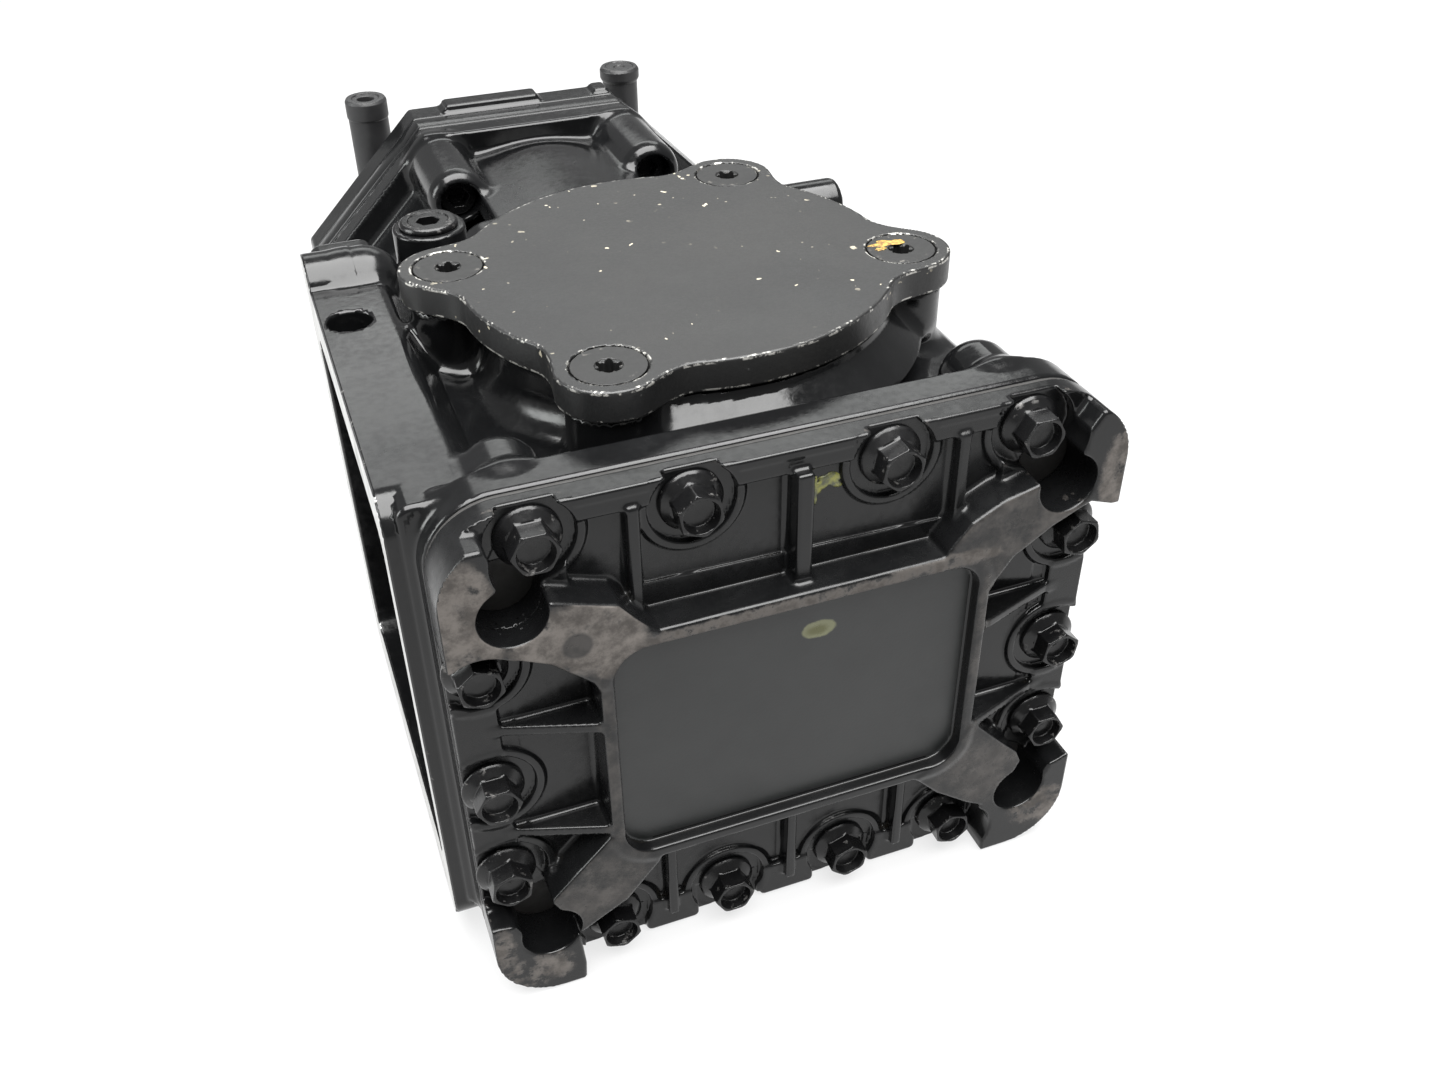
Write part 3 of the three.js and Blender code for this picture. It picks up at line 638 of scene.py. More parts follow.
def gloss_paint(name, base=(0.0032, 0.0033, 0.0035), rough=(0.13, 0.30), peel=0.00002, wear_amt=1.0, masks=(), worn=(0.30, 0.29, 0.28),
                worn_rough=0.42, dust=0.0, spec=0.36, wavy=0.03):
    """Black paint over a casting: uneven gloss, orange peel, wear on edges, and worn patches where masks say."""
    m, nt, b = new_mat(name)
    g = Graph(nt)
    b.inputs["Specular IOR Level"].default_value = spec
    broad = g.noise(38, 4, 0.6)
    fine = g.noise(620, 3, 0.55)
    grain = g.noise(2600, 2, 0.5)
    r = g.math("ADD", g.ramp(broad, 0.3, 0.72, rough[0], rough[1]), g.ramp(fine, 0.3, 0.7, -0.035, 0.05))
    e = g.attr("edge")
    chip = g.noise(420, 4, 0.65)
    worn_f = g.math("MULTIPLY", g.ramp(e, 0.36, 0.62), g.ramp(chip, 0.60, 0.70))
    worn_f = g.math("MULTIPLY", worn_f, wear_amt)
    colour = g.mix(g.ramp(broad, 0.35, 0.7), base, tuple(x * 1.5 for x in base))
    if dust:
        cav = g.attr("cav")
        dirt = g.math("MULTIPLY", g.ramp(cav, 0.55, 0.95), g.ramp(g.noise(130, 5, 0.7), 0.45, 0.72, 0.0, dust))
        colour = g.mix(dirt, colour, (0.035, 0.028, 0.018))
        r = g.math("ADD", r, g.math("MULTIPLY", dirt, 0.5))
    metal = worn_f
    for build in masks:
        f_ = build(g)
        metal = g.math("MAXIMUM", metal, f_)
    colour = g.mix(metal, colour, g.mix(g.ramp(g.noise(210, 5, 0.7), 0.35, 0.65), worn, tuple(x * 0.45 for x in worn)))
    r = g.math("ADD", r, g.math("MULTIPLY", metal, worn_rough - rough[0]))
    g.link(colour, b.inputs["Base Color"])
    g.link(r, b.inputs["Roughness"])
    g.link(g.math("MULTIPLY", metal, 0.75), b.inputs["Metallic"])
    n1 = g.bump(g.noise(230, 2, 0.5), 0.0008, wavy)
    n2 = g.bump(fine, peel, 0.9, n1)
    n3 = g.bump(grain, peel * 0.45, 0.6, n2)
    g.link(n3, b.inputs["Normal"])
    return m


def metal_mat(name, base, rough, oil=0.0, brushed=0.0, metallic=1.0, spec=0.5):
    m, nt, b = new_mat(name)
    g = Graph(nt)
    b.inputs["Specular IOR Level"].default_value = spec
    n = g.noise(160, 5, 0.65)
    colour = g.mix(g.ramp(n, 0.3, 0.75), base, tuple(x * 0.55 for x in base))
    if oil:
        colour = g.mix(g.ramp(g.noise(60, 4, 0.6), 0.42, 0.62, 0.0, oil), colour, (0.012, 0.009, 0.006))
    g.link(colour, b.inputs["Base Color"])
    g.link(g.ramp(g.noise(420, 4, 0.6), 0.25, 0.75, rough[0], rough[1]), b.inputs["Roughness"])
    b.inputs["Metallic"].default_value = metallic
    g.link(g.bump(g.noise(900, 3, 0.6), 0.00002, 0.7), b.inputs["Normal"])
    return m


def spots(g, scale, lo, hi):
    return g.ramp(g.noise(scale, 2, 0.5), lo, hi)


def lid_material():
    m, nt, b = new_mat("lid_satin_black")
    g = Graph(nt)
    base = g.mix(g.ramp(g.noise(25, 4, 0.6), 0.35, 0.7), (0.0065, 0.0066, 0.0068), (0.0095, 0.0094, 0.0092))
    e = g.attr("edge")
    rim = g.math("MULTIPLY", g.ramp(e, 0.30, 0.5), g.ramp(g.noise(330, 5, 0.7), 0.50, 0.60))
    specks = g.math("MULTIPLY", g.ramp(g.noise(520, 1, 0.4), 0.735, 0.76), g.ramp(g.noise(45, 3, 0.6), 0.45, 0.60))
    c = g.mix(rim, base, (0.50, 0.49, 0.46))
    c = g.mix(specks, c, (0.34, 0.31, 0.24))
    scratch = g.ramp(g.noise(900, 1, 0.5, vec=g.stretch(1.0, 0.05, 1.0)), 0.76, 0.80, 0.0, 0.35)
    c = g.mix(scratch, c, (0.09, 0.09, 0.09))
    g.link(c, b.inputs["Base Color"])
    r = g.math("ADD", g.ramp(g.noise(55, 5, 0.65), 0.3, 0.7, 0.36, 0.45), g.ramp(g.noise(1500, 2, 0.5), 0.3, 0.7, -0.03, 0.03))
    g.link(r, b.inputs["Roughness"])
    g.link(g.math("MULTIPLY", rim, 0.8), b.inputs["Metallic"])
    n1 = g.bump(g.noise(1600, 3, 0.6), 0.000035, 0.8)
    n2 = g.bump(g.noise(90, 2, 0.5), 0.0004, 0.12, n1)
    g.link(n2, b.inputs["Normal"])
    b.inputs["Specular IOR Level"].default_value = 0.5
    return m


def cover_masks():
    """Bare, rubbed metal on the raised pads of the end cover: the paint is gone on the faces at frame height."""
    def face(g):
        # only surfaces that look straight forward and stand at the height of the cross frame
        n = g.nt.nodes.new("ShaderNodeSeparateXYZ")
        geo = g.nt.nodes.new("ShaderNodeNewGeometry")
        g.link(geo.outputs["Normal"], n.inputs[0])
        ahead = g.ramp(g.math("MULTIPLY", n.outputs["Y"], -1.0), 0.55, 0.85)
        q = g.nt.nodes.new("ShaderNodeSeparateXYZ")
        g.link(g.coord, q.inputs[0])
        y0 = (OFF[1] - 11.2) * 0.001
        return g.math("MULTIPLY", ahead, g.ramp(q.outputs["Y"], y0 + 0.0005, y0 - 0.0001))

    def patch(g, spots, noise_scale, amount, lo, hi):
        w = g.math("MULTIPLY", g.math("SUBTRACT", g.noise(noise_scale, 5, 0.7), 0.5), amount)
        out = None
        for c, r, soft, sc in spots:
            f_ = g.near(c, r, soft, sc, w)
            out = f_ if out is None else g.math("MAXIMUM", out, f_)
        return g.math("MULTIPLY", out, g.ramp(g.noise(noise_scale * 0.7, 5, 0.7), lo, hi))

    def strong(g):
        a = patch(g, [((-64, -12, -19), 8.0, 1.0, (0.9, 2.0, 1.9)), ((-44, -12, -25.5), 9.5, 1.4, (1.25, 2.0, 0.85)), ((-58, -12, -31), 5.5, 1.2, (1.6, 2.0, 0.8)),
                      ((-36.5, -12, -31.5), 5.5, 1.2, (1.1, 2.0, 0.9))], 250, 5.0, 0.30, 0.47)
        b_ = patch(g, [((-5, -12, -30.2), 1.55, 0.5, (24, 4.0, 0.85)), ((30, -12, -29.3), 2.2, 0.6, (5.5, 3.0, 0.85))], 300, 2.6, 0.36, 0.55)
        c_ = patch(g, [((66.0, -12, -17.5), 3.6, 0.8, (1.0, 2.0, 2.9)), ((-60.5, -12, -112.3), 3.4, 0.8, (2.6, 2.0, 1.3)), ((-65.6, -12, -103), 2.4, 0.8, (1.0, 2.0, 2.4)),
                       ((61.5, -12, -109.3), 3.4, 0.8, (2.2, 2.0, 1.6))], 260, 3.6, 0.36, 0.52)
        out = g.math("MAXIMUM", g.math("MAXIMUM", a, b_), c_)
        mark = g.near((-44.3, -12, -27), 2.9, 0.5, (1, 1, 1))      # round ejector mark, still dark
        out = g.math("MULTIPLY", out, g.math("SUBTRACT", 1.0, g.math("MULTIPLY", mark, 0.8)))
        return g.math("MULTIPLY", out, face(g))

    def faint(g):
        a = patch(g, [((45, -12, -23.8), 9.0, 2.0, (1.5, 2.0, 0.9)), ((-44, -12, -92), 8.0, 3.0, (1.3, 2.0, 1.2)), ((44, -12, -92), 8.0, 3.0, (1.3, 2.0, 1.2)),
                      ((-40.5, -12, -60), 3.0, 1.5, (0.9, 2.0, 9)), ((40.5, -12, -55), 3.0, 1.5, (0.9, 2.0, 9))], 180, 6.0, 0.34, 0.62)
        return g.math("MULTIPLY", g.math("MULTIPLY", a, 0.34), face(g))
    return strong, faint


def end_cover_material():
    m = gloss_paint("end_cover_paint", rough=(0.15, 0.30), masks=cover_masks(), worn=(0.17, 0.155, 0.143), worn_rough=0.5, wear_amt=0.55, dust=0.25)
    return m


def panel_material():
    """The flat sunk panel: satin, faintly grey, with one oval residue mark."""
    m, nt, b = new_mat("panel_satin")
    g = Graph(nt)
    base = g.mix(g.ramp(g.noise(30, 4, 0.6), 0.3, 0.75), (0.0075, 0.0083, 0.0082), (0.0105, 0.0114, 0.0112))
    w = g.math("MULTIPLY", g.math("SUBTRACT", g.noise(500, 3, 0.6), 0.5), 1.2)
    spot = g.near((4.1, -9, -40.3), 3.0, 0.35, (1.15, 1.0, 0.72), w)
    inner = g.near((3.7, -9, -40.5), 1.9, 0.9, (1.1, 1.0, 0.6), w)
    c = g.mix(spot, base, (0.115, 0.118, 0.062))
    c = g.mix(inner, c, (0.062, 0.062, 0.016))
    g.link(c, b.inputs["Base Color"])
    r = g.ramp(g.noise(70, 5, 0.65), 0.3, 0.7, 0.34, 0.44)
    g.link(g.math("SUBTRACT", r, g.math("MULTIPLY", spot, 0.12)), b.inputs["Roughness"])
    g.link(g.bump(g.noise(1500, 3, 0.6), 0.00003, 0.8), b.inputs["Normal"])
    b.inputs["Specular IOR Level"].default_value = 0.5
    return m


def residue_material():
    m, nt, b = new_mat("residue_dry")
    g = Graph(nt)
    g.link(g.mix(g.ramp(g.noise(900, 4, 0.6), 0.35, 0.65), (0.36, 0.24, 0.045), (0.12, 0.06, 0.015)), b.inputs["Base Color"])
    g.link(g.ramp(g.noise(700, 3, 0.5), 0.3, 0.7, 0.45, 0.7), b.inputs["Roughness"])
    g.link(g.bump(g.noise(1800, 3, 0.6), 0.0001, 0.8), b.inputs["Normal"])
    return m


def dab_material():
    m, nt, b = new_mat("sealant_dab")
    g = Graph(nt)
    g.link(g.mix(g.ramp(g.noise(700, 4, 0.6), 0.35, 0.65), (0.20, 0.20, 0.045), (0.055, 0.060, 0.035)), b.inputs["Base Color"])
    g.link(g.ramp(g.noise(500, 3, 0.5), 0.3, 0.7, 0.22, 0.4), b.inputs["Roughness"])
    g.link(g.bump(g.noise(900, 3, 0.6), 0.0001, 0.6), b.inputs["Normal"])
    return m


PAINT = gloss_paint("case_paint", rough=(0.11, 0.24), worn=(0.45, 0.44, 0.42), wear_amt=0.7, dust=0.5)
COVER = end_cover_material()
PANEL = panel_material()
LID = lid_material()
FASTENER = gloss_paint("fastener_black", base=(0.0035, 0.0035, 0.0037), rough=(0.17, 0.30), peel=0.00001, worn=(0.35, 0.34, 0.33), wear_amt=0.6)
SCREW = gloss_paint("screw_black", base=(0.008, 0.008, 0.008), rough=(0.32, 0.42), peel=0.000012, worn=(0.35, 0.33, 0.30), wear_amt=0.5)
SLEEVE = gloss_paint("sleeve_black", base=(0.012, 0.012, 0.0125), rough=(0.34, 0.5), peel=0.00003, worn=(0.3, 0.28, 0.25), wear_amt=0.5)
MACHINED = metal_mat("machined_edge", (0.60, 0.60, 0.59), (0.30, 0.44), metallic=0.85)
STEEL = metal_mat("gear_steel_oily", (0.34, 0.34, 0.345), (0.22, 0.36), oil=0.55)
DARK_STEEL = metal_mat("dark_steel_oily", (0.20, 0.20, 0.205), (0.28, 0.42), oil=0.6)
RUBBER = metal_mat("seal_rubber_mat", (0.02, 0.017, 0.014), (0.5, 0.65), metallic=0.0)
PAPER = metal_mat("gasket_mat", (0.016, 0.015, 0.014), (0.6, 0.8), metallic=0.0)
COPPER = metal_mat("washer_copper", (0.62, 0.30, 0.16), (0.28, 0.4), metallic=1.0)
RESIDUE = residue_material()
DAB = dab_material()


def adopt(o, node):
    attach(o, BODY[node])
    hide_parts(node)
    return o


# ================================================================= the gear case
def gear_case_ops():
    U = "+"
    ops = []
    section = [(-70, -3), (-56.5, -3), (-51.5, -11.5), (-45, -13.2), (-30, -12.5), (0, -11.5), (46, -12.5), (58, -13.5), (64, -19), (64, -98), (56, -112), (-62, -112), (-70, -106)]
    ops.append((U, ex("y", poly(section, 3.0), 6, 124, 1.2), 0))
    ops.append((U, ex("y", rrect(-67.5, -119.5, 67.5, 0, 14), 0.5, 9, 0.7), 2.2))
    ops.append((U, ex("x", rrect(6.5, -114, 113, -3, 8), -72.5, -66, 0.35), 0))
    # bell, its flange and the broad hump over the shafts
    ops.append((U, ex("y", poly(octagon(7.0), 9), 108, 190, 4), 7))
    ops.append((U, capsule((1, 112, -26.5), (1, 170, -26.5), 20.5), 9))
    ops.append((U, capsule((6, 118, -92), (6, 172, -92), 19), 9))
    ops.append((U, ex("y", poly(octagon(0), 1.2), 186, 194, 0.6), 2.0))
    for x, z in BELL_BOLTS:
        ops.append((U, ex("y", circ(x, z, 8), 156, 190, 2.6), 3.5))
    # round tower with its flared skirt, and the posts under the lobes
    ops.append((U, ex("z", circ(*TOWER, 42.0), -20, 0.9, 0.3), 7.5))
    skirt = rev("z", *TOWER, [(0, -17), (53.0, -8.0), (52.4, -7.2), (45.9, -0.7), (45.4, 0.9), (0, 0.9)], 0)
    a0, a1 = math.radians(-122), math.radians(-20)

    def front_only(x, y, z, f=skirt.f):
        u, v = x - TOWER[0], y - TOWER[1]
        return np.maximum(f(x, y, z), np.maximum(u * math.sin(a0) - v * math.cos(a0), -u * math.sin(a1) + v * math.cos(a1)))
    ops.append((U, Solid(front_only, skirt.lo, skirt.hi), 0.6))
    for x, y in LOBES:
        ops.append((U, ex("z", circ(x, y, 9.0), -24, 0.9, 0.4), 3.5))
    # bosses behind the joint
    for i, (x, z) in enumerate(COVER_BOLTS):
        if i in (0, 3):
            ops.append((U, ex("y", circ(x, z - 0.6, 7.8), 5, 22.5, 5.5), 3.0))
        elif abs(x) > 60:
            ops.append((U, ex("y", circ(x, z, 5.4), 5, 21, 4.5), 2.0))
        elif z < -100:
            ops.append((U, ex("y", circ(x, z, 6.0), 5, 21, 4.5), 2.5))
    for x, z in CORNER_HOLES:
        ops.append((U, ex("y", circ(x * 0.985, z, 9.3), 5, 20, 6), 3.0))
    # side bosses, filler and drain bosses
    ops.append((U, capsule((-63.6, 106, -6.2), (-59.5, 106, -6.2), 8.3), 2.0))
    ops.append((U, ex("x", circ(106, -6.2, 8.3), -72.5, -62, 0.35), 0.8))
    ops.append((U, ex("x", circ(116, -10, 6.5), 40, 64, 1.6), 2.5))
    ops.append((U, ex("z", circ(-41.5, 120, 8.7), -22, -0.9, 0.5), 3.0))
    ops.append((U, ex("z", circ(0, 60, 12), -114.5, -104, 0.8), 3.0))
    # stiffening ribs on the right side and underneath
    for y in (34, 62, 90):
        ops.append((U, ex("y", rrect(54, -100, 66.2, -24, 5), y - 1.6, y + 1.6, 1.4), 3.0))
    for x in (-36, 36):
        ops.append((U, ex("x", rrect(12, -114.6, 122, -106, 2), x - 1.8, x + 1.8, 1.4), 3.0))
    # hollows
    ops.append(("-", ex("y", rrect(-54, -105, 54, -15, 22), -1, 16, 0), 0.5))
    ops.append(("-", ex("y", circ(*RAILS[0], 8.9), -1, 16, 0), 0))
    ops.append(("-", ex("y", poly([(-65, -16), (-65, -102), (-61, -106), (54, -106), (58, -102), (58, -21), (50, -18.5), (-30, -16.5), (-40, -15)], 3), 14, 116, 2), 0.8))
    ops.append(("-", ex("y", poly(octagon(12), 6), 130, 200, 0), 0.5))
    ops.append(("-", ex("y", circ(*RAILS[0], 6), 126, 200, 0), 0.5))
    ops.append(("-", ex("x", rrect(14, -100, 100, -14, 6), -80, -60, 0), 0.5))
    ops.append(("-", ex("z", circ(*TOWER, 35), -26, 20, 0), 0.5))
    for x, z in BELL_BOLTS:      # tubes of the bell bolts run through to the flange
        ops.append((U, ex("y", circ(x, z, 7.6), 159, 193, 1.5), 2.0))
    for x, z in (INPUT, OUTPUT):
        ops.append(("-", ex("y", circ(x, z, 17.9), 115, 128.5, 0), 0))
    ops.append(("-", ex("y", circ(*INPUT, 12), 120, 135, 0), 0))
    ops.append(("-", ex("y", circ(*OUTPUT, 13.2), 120, 135, 0), 0))
    for x, z in RAILS:
        ops.append(("-", ex("y", circ(x, z, 5.35), 110, 135, 0), 0))
    for x, z in COVER_BOLTS:
        ops.append(("-", ex("y", circ(x, z, 3.5), -1, 13, 0), 0))
    for x, z in CORNER_HOLES:
        ops.append(("-", ex("y", circ(x, z, 5), -1, 12, 0), 0))
    for x, y in LOBES:
        ops.append(("-", ex("z", circ(x, y, 4.7), -11.5, 10, 0), 0))
    ops.append(("-", ex("z", circ(-66.3, 81, 4.8), -9.5, 5, 0), 0.5))
    ops.append(("-", ex("z", circ(-41.5, 120, 5.6), -12, 5, 0), 0))
    ops.append(("-", ex("z", circ(0, 60, 6.4), -125, -100, 0), 0))
    for x, z in BELL_BOLTS:
        ops.append(("-", ex("y", circ(x, z, 5.3), 140, 167, 0), 1.0))
        ops.append(("-", ex("y", circ(x, z, 3.6), 160, 200, 0), 0))
    return ops


def case_slots(c):
    """Machined metal on the side face of the window."""
    return (c[:, 0] < -72.3).astype(int)


case = cast("case_body", gear_case_ops(),
            axis_grid(-74, -64, 0.8, -46, 0.9, 68.6, 1.15),
            axis_grid(-1, 26, 0.8, 112, 1.1, 196, 1.0),
            axis_grid(-121, -30, 1.3, 4, 0.75), [PAINT, MACHINED], mat_index=case_slots)
adopt(case, "gear_case")


# ================================================================= the end cover
def end_cover_ops():
    U = "+"
    ops = []
    ops.append((U, ex("y", rrect(-67.5, -119.5, 67.5, 0, 14), -3.8, -0.5, 0.5), 0))
    # rim along the top: wide between the bolts, a thin lip past each bolt
    ops.append((U, ex("y", rrect(-62, -1.9, 62, -0.02, 0.8), -6, -1.5, 0.5), 0.6))
    for x0, x1 in ((-41.5, -28), (-11.5, 11.5), (28, 41.5)):
        ops.append((U, ex("y", rrect(x0, -5.2, x1, -0.02, 0.6), -6, -1.5, 0.6), 0.6))
    # corner quarters of the rim, which carry the pads
    for sx, z0, z1, cz in ((-1, -24.5, 0, -14), (1, -24.5, 0, -14), (-1, -119.5, -94.5, -105.5), (1, -119.5, -94.5, -105.5)):
        ops.append((U, ex("y", rrect(-67.5, -119.5, 67.5, 0, 14), -6, -1.5, 0.8), 0))
        break
    cut = []
    # valleys between the rim and the cross frame
    for x0, x1, z0, z1 in ((-43.5, 43.5, -30, -5.2), (-60, -40, -90, -26), (40, 60, -90, -26), (-47, 47, -113.2, -86)):
        cut.append(("-", ex("y", rrect(x0, z0, x1, z1, 2.5), -20, -3.8, 0), 0.7))
    # open sides: the rim is missing along the flanks and between the bottom tabs
    for s in (-1, 1):
        cut.append(("-", ex("y", rrect(min(s * 56, s * 72), -94, max(s * 56, s * 72), -26, 2.0), -20, -3.8, 0), 0.7))
    cut.append(("-", ex("y", rrect(-50, -124, 50, -110, 2.0), -20, -3.8, 0), 0.7))
    ops += cut
    # tabs of the rim left between the bottom bolts, and along the flanks
    for x0, x1 in ((-33, -21), (-6, 7), (21, 33)):
        ops.append((U, ex("y", rrect(x0, -119.45, x1, -110.5, 1.0), -5.4, -1.5, 0.6), 0.7))
    for s in (-1, 1):
        for z0, z1 in ((-55.5, -42.5), (-80, -72.5)):
            ops.append((U, ex("y", rrect(min(s * 59, s * 67.45), z0, max(s * 59, s * 67.45), z1, 1.0), -4.9, -1.5, 0.5), 0.7))
    # wall of each bolt seat, a ring a little proud of the valley floor
    for x, z in COVER_BOLTS:
        ops.append((U, ex("y", circ(x, z, 10.3), -4.9, -1.5, 0.6), 0.8))
    # cross frame with its arms
    arms = [
        [(-29.3, -28.4), (-33.3, -24), (-36.1, -20.4), (-48.6, -16.2), (-56, -9), (-58.5, -2.5), (-74, -2.5),
         (-74, -31.5), (-66.5, -31.2), (-60, -26.0), (-54.5, -27.6), (-49.4, -30.1), (-42, -37), (-40.2, -40), (-36, -33)],
        [(29.3, -27.6), (34.4, -21.5), (41, -18.0), (48.3, -16.1), (56, -9), (60.5, -2.5), (74, -2.5), (74, -25.0), (66, -25.0),
         (61, -23.2), (52.9, -27), (44.9, -32.3), (39.8, -39.7), (36, -33)],
        [(-41, -78.5), (-53.4, -91.2), (-60, -96.0), (-74, -96.0), (-74, -126), (-49.5, -126), (-48.8, -115),
         (-49.6, -104.8), (-38.7, -98.6), (-30.7, -89.1), (-36, -84)],
        [(40.1, -75.6), (52, -88.2), (58, -94.5), (74, -94.5), (74, -126), (47.5, -126), (46.4, -114),
         (45.2, -103.5), (41.2, -101), (33.6, -95.1), (27.3, -88.3), (36, -84)]]
    ops.append((U, ex("y", rrect(-40.9, -88.5, 40.3, -28.2, 9.5), -12, -1.5, 0.9), 1.2))
    for a in arms:
        ops.append((U, ex("y", poly(a, 1.0), -12, -1.5, 0.8), 1.2))
    ops.append(("&", ex("y", rrect(-67.5, -119.5, 67.5, 0, 14), -14, 30, 0.8), 0))
    # ribs
    for x, w in ((-31.3, 1.2), (0.8, 1.7), (34, 1.2)):
        ops.append((U, ex("y", rrect(x - w, -29.5, x + w, -4.2, 0.6), -8.6 if w > 1.5 else -7.0, -3, 0.6), 1.2))
    for s in (-1, 1):
        for z in (-49, -77):      # fins that run out in a slope towards the rim
            f = poly([(s * 38, -11.4), (s * 42, -11.0), (s * 61.5, -4.3), (s * 61.5, -3.0), (s * 38, -3.0)], 0.25)
            ops.append((U, ex("z", f, z - 1.15, z + 1.15, 0.5), 1.0))
    for x in (-27.3, 0.4, 26.8):
        ops.append((U, ex("y", rrect(x - 1.1, -113.5, x + 1.1, -87, 0.5), -7.6, -3, 0.5), 1.1))
    # sunk panel
    ops.append(("-", ex("y", rrect(-38.1, -85.7, 37.5, -31.6, 6.5), -20, -9, 0.4), 0.7))
    # fine slots cast beside the bottom edge of the frame
    for x in (-19, 8):
        ops.append(("-", ex("y", rrect(x - 5, -90.2, x + 4, -88.9, 0.5), -8, -3.1, 0.2), 0.2))
    # bolt seats: a round pocket that opens through the rim at the sides and below
    for x, z in COVER_BOLTS:
        ops.append(("-", ex("y", circ(x, z, 8.5), -20, -3.5, 0.25), 0.45))
        if z < -110:
            ops.append(("-", ex("y", rrect(x - 7.0, -130, x + 7.0, z, 0.3), -20, -3.5, 0.2), 0.45))
        elif abs(x) > 60:
            s = 1 if x > 0 else -1
            ops.append(("-", ex("y", rrect(min(s * 61.8, s * 80), z - 7.0, max(s * 61.8, s * 80), z + 7.0, 0.3), -20, -3.5, 0.2), 0.45))
        ops.append(("-", ex("y", circ(x, z, 3.5), -20, 2, 0), 0.2))
    # corner fixing holes, run together with the nearest bolt seat
    for x, z in CORNER_HOLES:
        ops.append(("-", ex("y", circ(x, z, 6.3), -20, 2, 0), 0.6))
    for (x, z), (bx, bz), w in (((-55, -17.5), (-49.4, -7.1), 4.6), ((55, -17.5), (49.4, -7.1), 4.6), ((55.3, -101.7), (60.8, -90), 4.4), ((-55.3, -101.7), (-60.8, -90), 4.4)):
        ops.append(("-", ex("y", slot2(x, z, bx, bz, w), -20, -3.5, 0.3), 0.8))
    # thread turns left in the wall where the upper left hole breaks into the bolt seat
    for k in range(5):
        y = -9.3 + k * 1.5
        ops.append(("-", rev("y", -55.0, -17.5, [(0, y - 0.45), (6.75, y), (0, y + 0.45)], 0), 0))
    # slanted draft line in the top valley
    ops.append((U, ex("y", poly([(-30, -29), (-30, -22.8), (32, -24.3), (32, -29)], 0.3), -4.35, -3, 0.25), 0.2))
    # bearing carriers and rail seats on the inside
    for x, z in (INPUT, OUTPUT):
        ops.append((U, ex("y", circ(x, z, 21.3), -1.5, 13, 0.5), 0.8))
    for x, z in RAILS:
        ops.append((U, ex("y", circ(x, z, 8.2), -1.5, 12, 0.5), 0.8))
    for x, z in (INPUT, OUTPUT):
        ops.append(("-", ex("y", circ(x, z, 17.9), 2.6, 14, 0), 0))
        ops.append(("-", ex("y", circ(x, z, 10), 0.5, 14, 0), 0))
    for x, z in RAILS:
        ops.append(("-", ex("y", circ(x, z, 5.35), 1, 14, 0), 0))
    return ops


def cover_slots(c):
    inside = (np.abs(c[:, 0] + 0.3) < 37.3) & (c[:, 2] < -32.1) & (c[:, 2] > -85.2) & (c[:, 1] > -9.15) & (c[:, 1] < -8.5)
    return inside.astype(int)


cover = cast("end_cover_body", end_cover_ops(),
             axis_grid(-69, 69, 0.55),
             axis_grid(-13.2, 0.6, 0.5, 14, 1.1),
             axis_grid(-121, 1.2, 0.55), [COVER, PANEL], mat_index=cover_slots, eps=0.05)
adopt(cover, "end_cover")


# ================================================================= flange bolts
def flange_bolt_ops(x, z, seat, length, turn):
    """Small-hexagon flange bolt, axis along y, head towards -y."""
    hexa = [(x + 4.6188 * math.cos(turn + k * math.pi / 3), z + 4.6188 * math.sin(turn + k * math.pi / 3)) for k in range(6)]
    return [("+", rev("y", x, z, [(0, seat - 2.1), (4.4, seat - 2.1), (5.9, seat - 0.95), (6.2, seat - 0.6), (6.2, seat), (0, seat)], 0), 0),
            ("+", ex("y", poly(hexa, 0.12), seat - 6.3, seat - 1.0, 0.12), 0.35),
            # chamfer of the head
            ("&", rev("y", x, z, [(0, seat - 6.35), (4.1, seat - 6.35), (5.3, seat - 5.6), (6.6, seat - 4.4), (6.6, seat + length + 1), (0, seat + length + 1)], 0), 0),
            # dished top
            ("-", rev("y", x, z, [(0, seat - 8), (3.6, seat - 8), (3.5, seat - 6.1), (3.1, seat - 4.2), (0, seat - 3.9)], 0), 0.1),
            ("+", rev("y", x, z, [(0, seat - 1), (3.0, seat - 1), (3.0, seat + length - 0.8), (2.2, seat + length), (0, seat + length)], 0), 0.2)]


seat = -3.6
hq = 0.27
vb, qb, nb = surface(flange_bolt_ops(0, 0, seat, 15, 0.0), axis_grid(-7, 7, hq), axis_grid(seat - 8.4, seat + 0.6, 0.27, seat + 15.8, 0.9), axis_grid(-7, 7, hq), eps=0.03)
wb = wear(flange_bolt_ops(0, 0, seat, 15, 0.0), vb, nb)
for i, (x, z) in enumerate(COVER_BOLTS):
    t = (i * 0.7) % 1.05
    c, s = math.cos(t), math.sin(t)
    R = np.array([[c, 0, -s], [0, 1, 0], [s, 0, c]])
    o = make_mesh(f"flange_bolt_{i + 1:02d}", vb @ R.T + np.array([x, 0, z]), qb, nb @ R.T, wb, [FASTENER])
    adopt(o, f"end_cover_bolt_{i + 1:02d}")


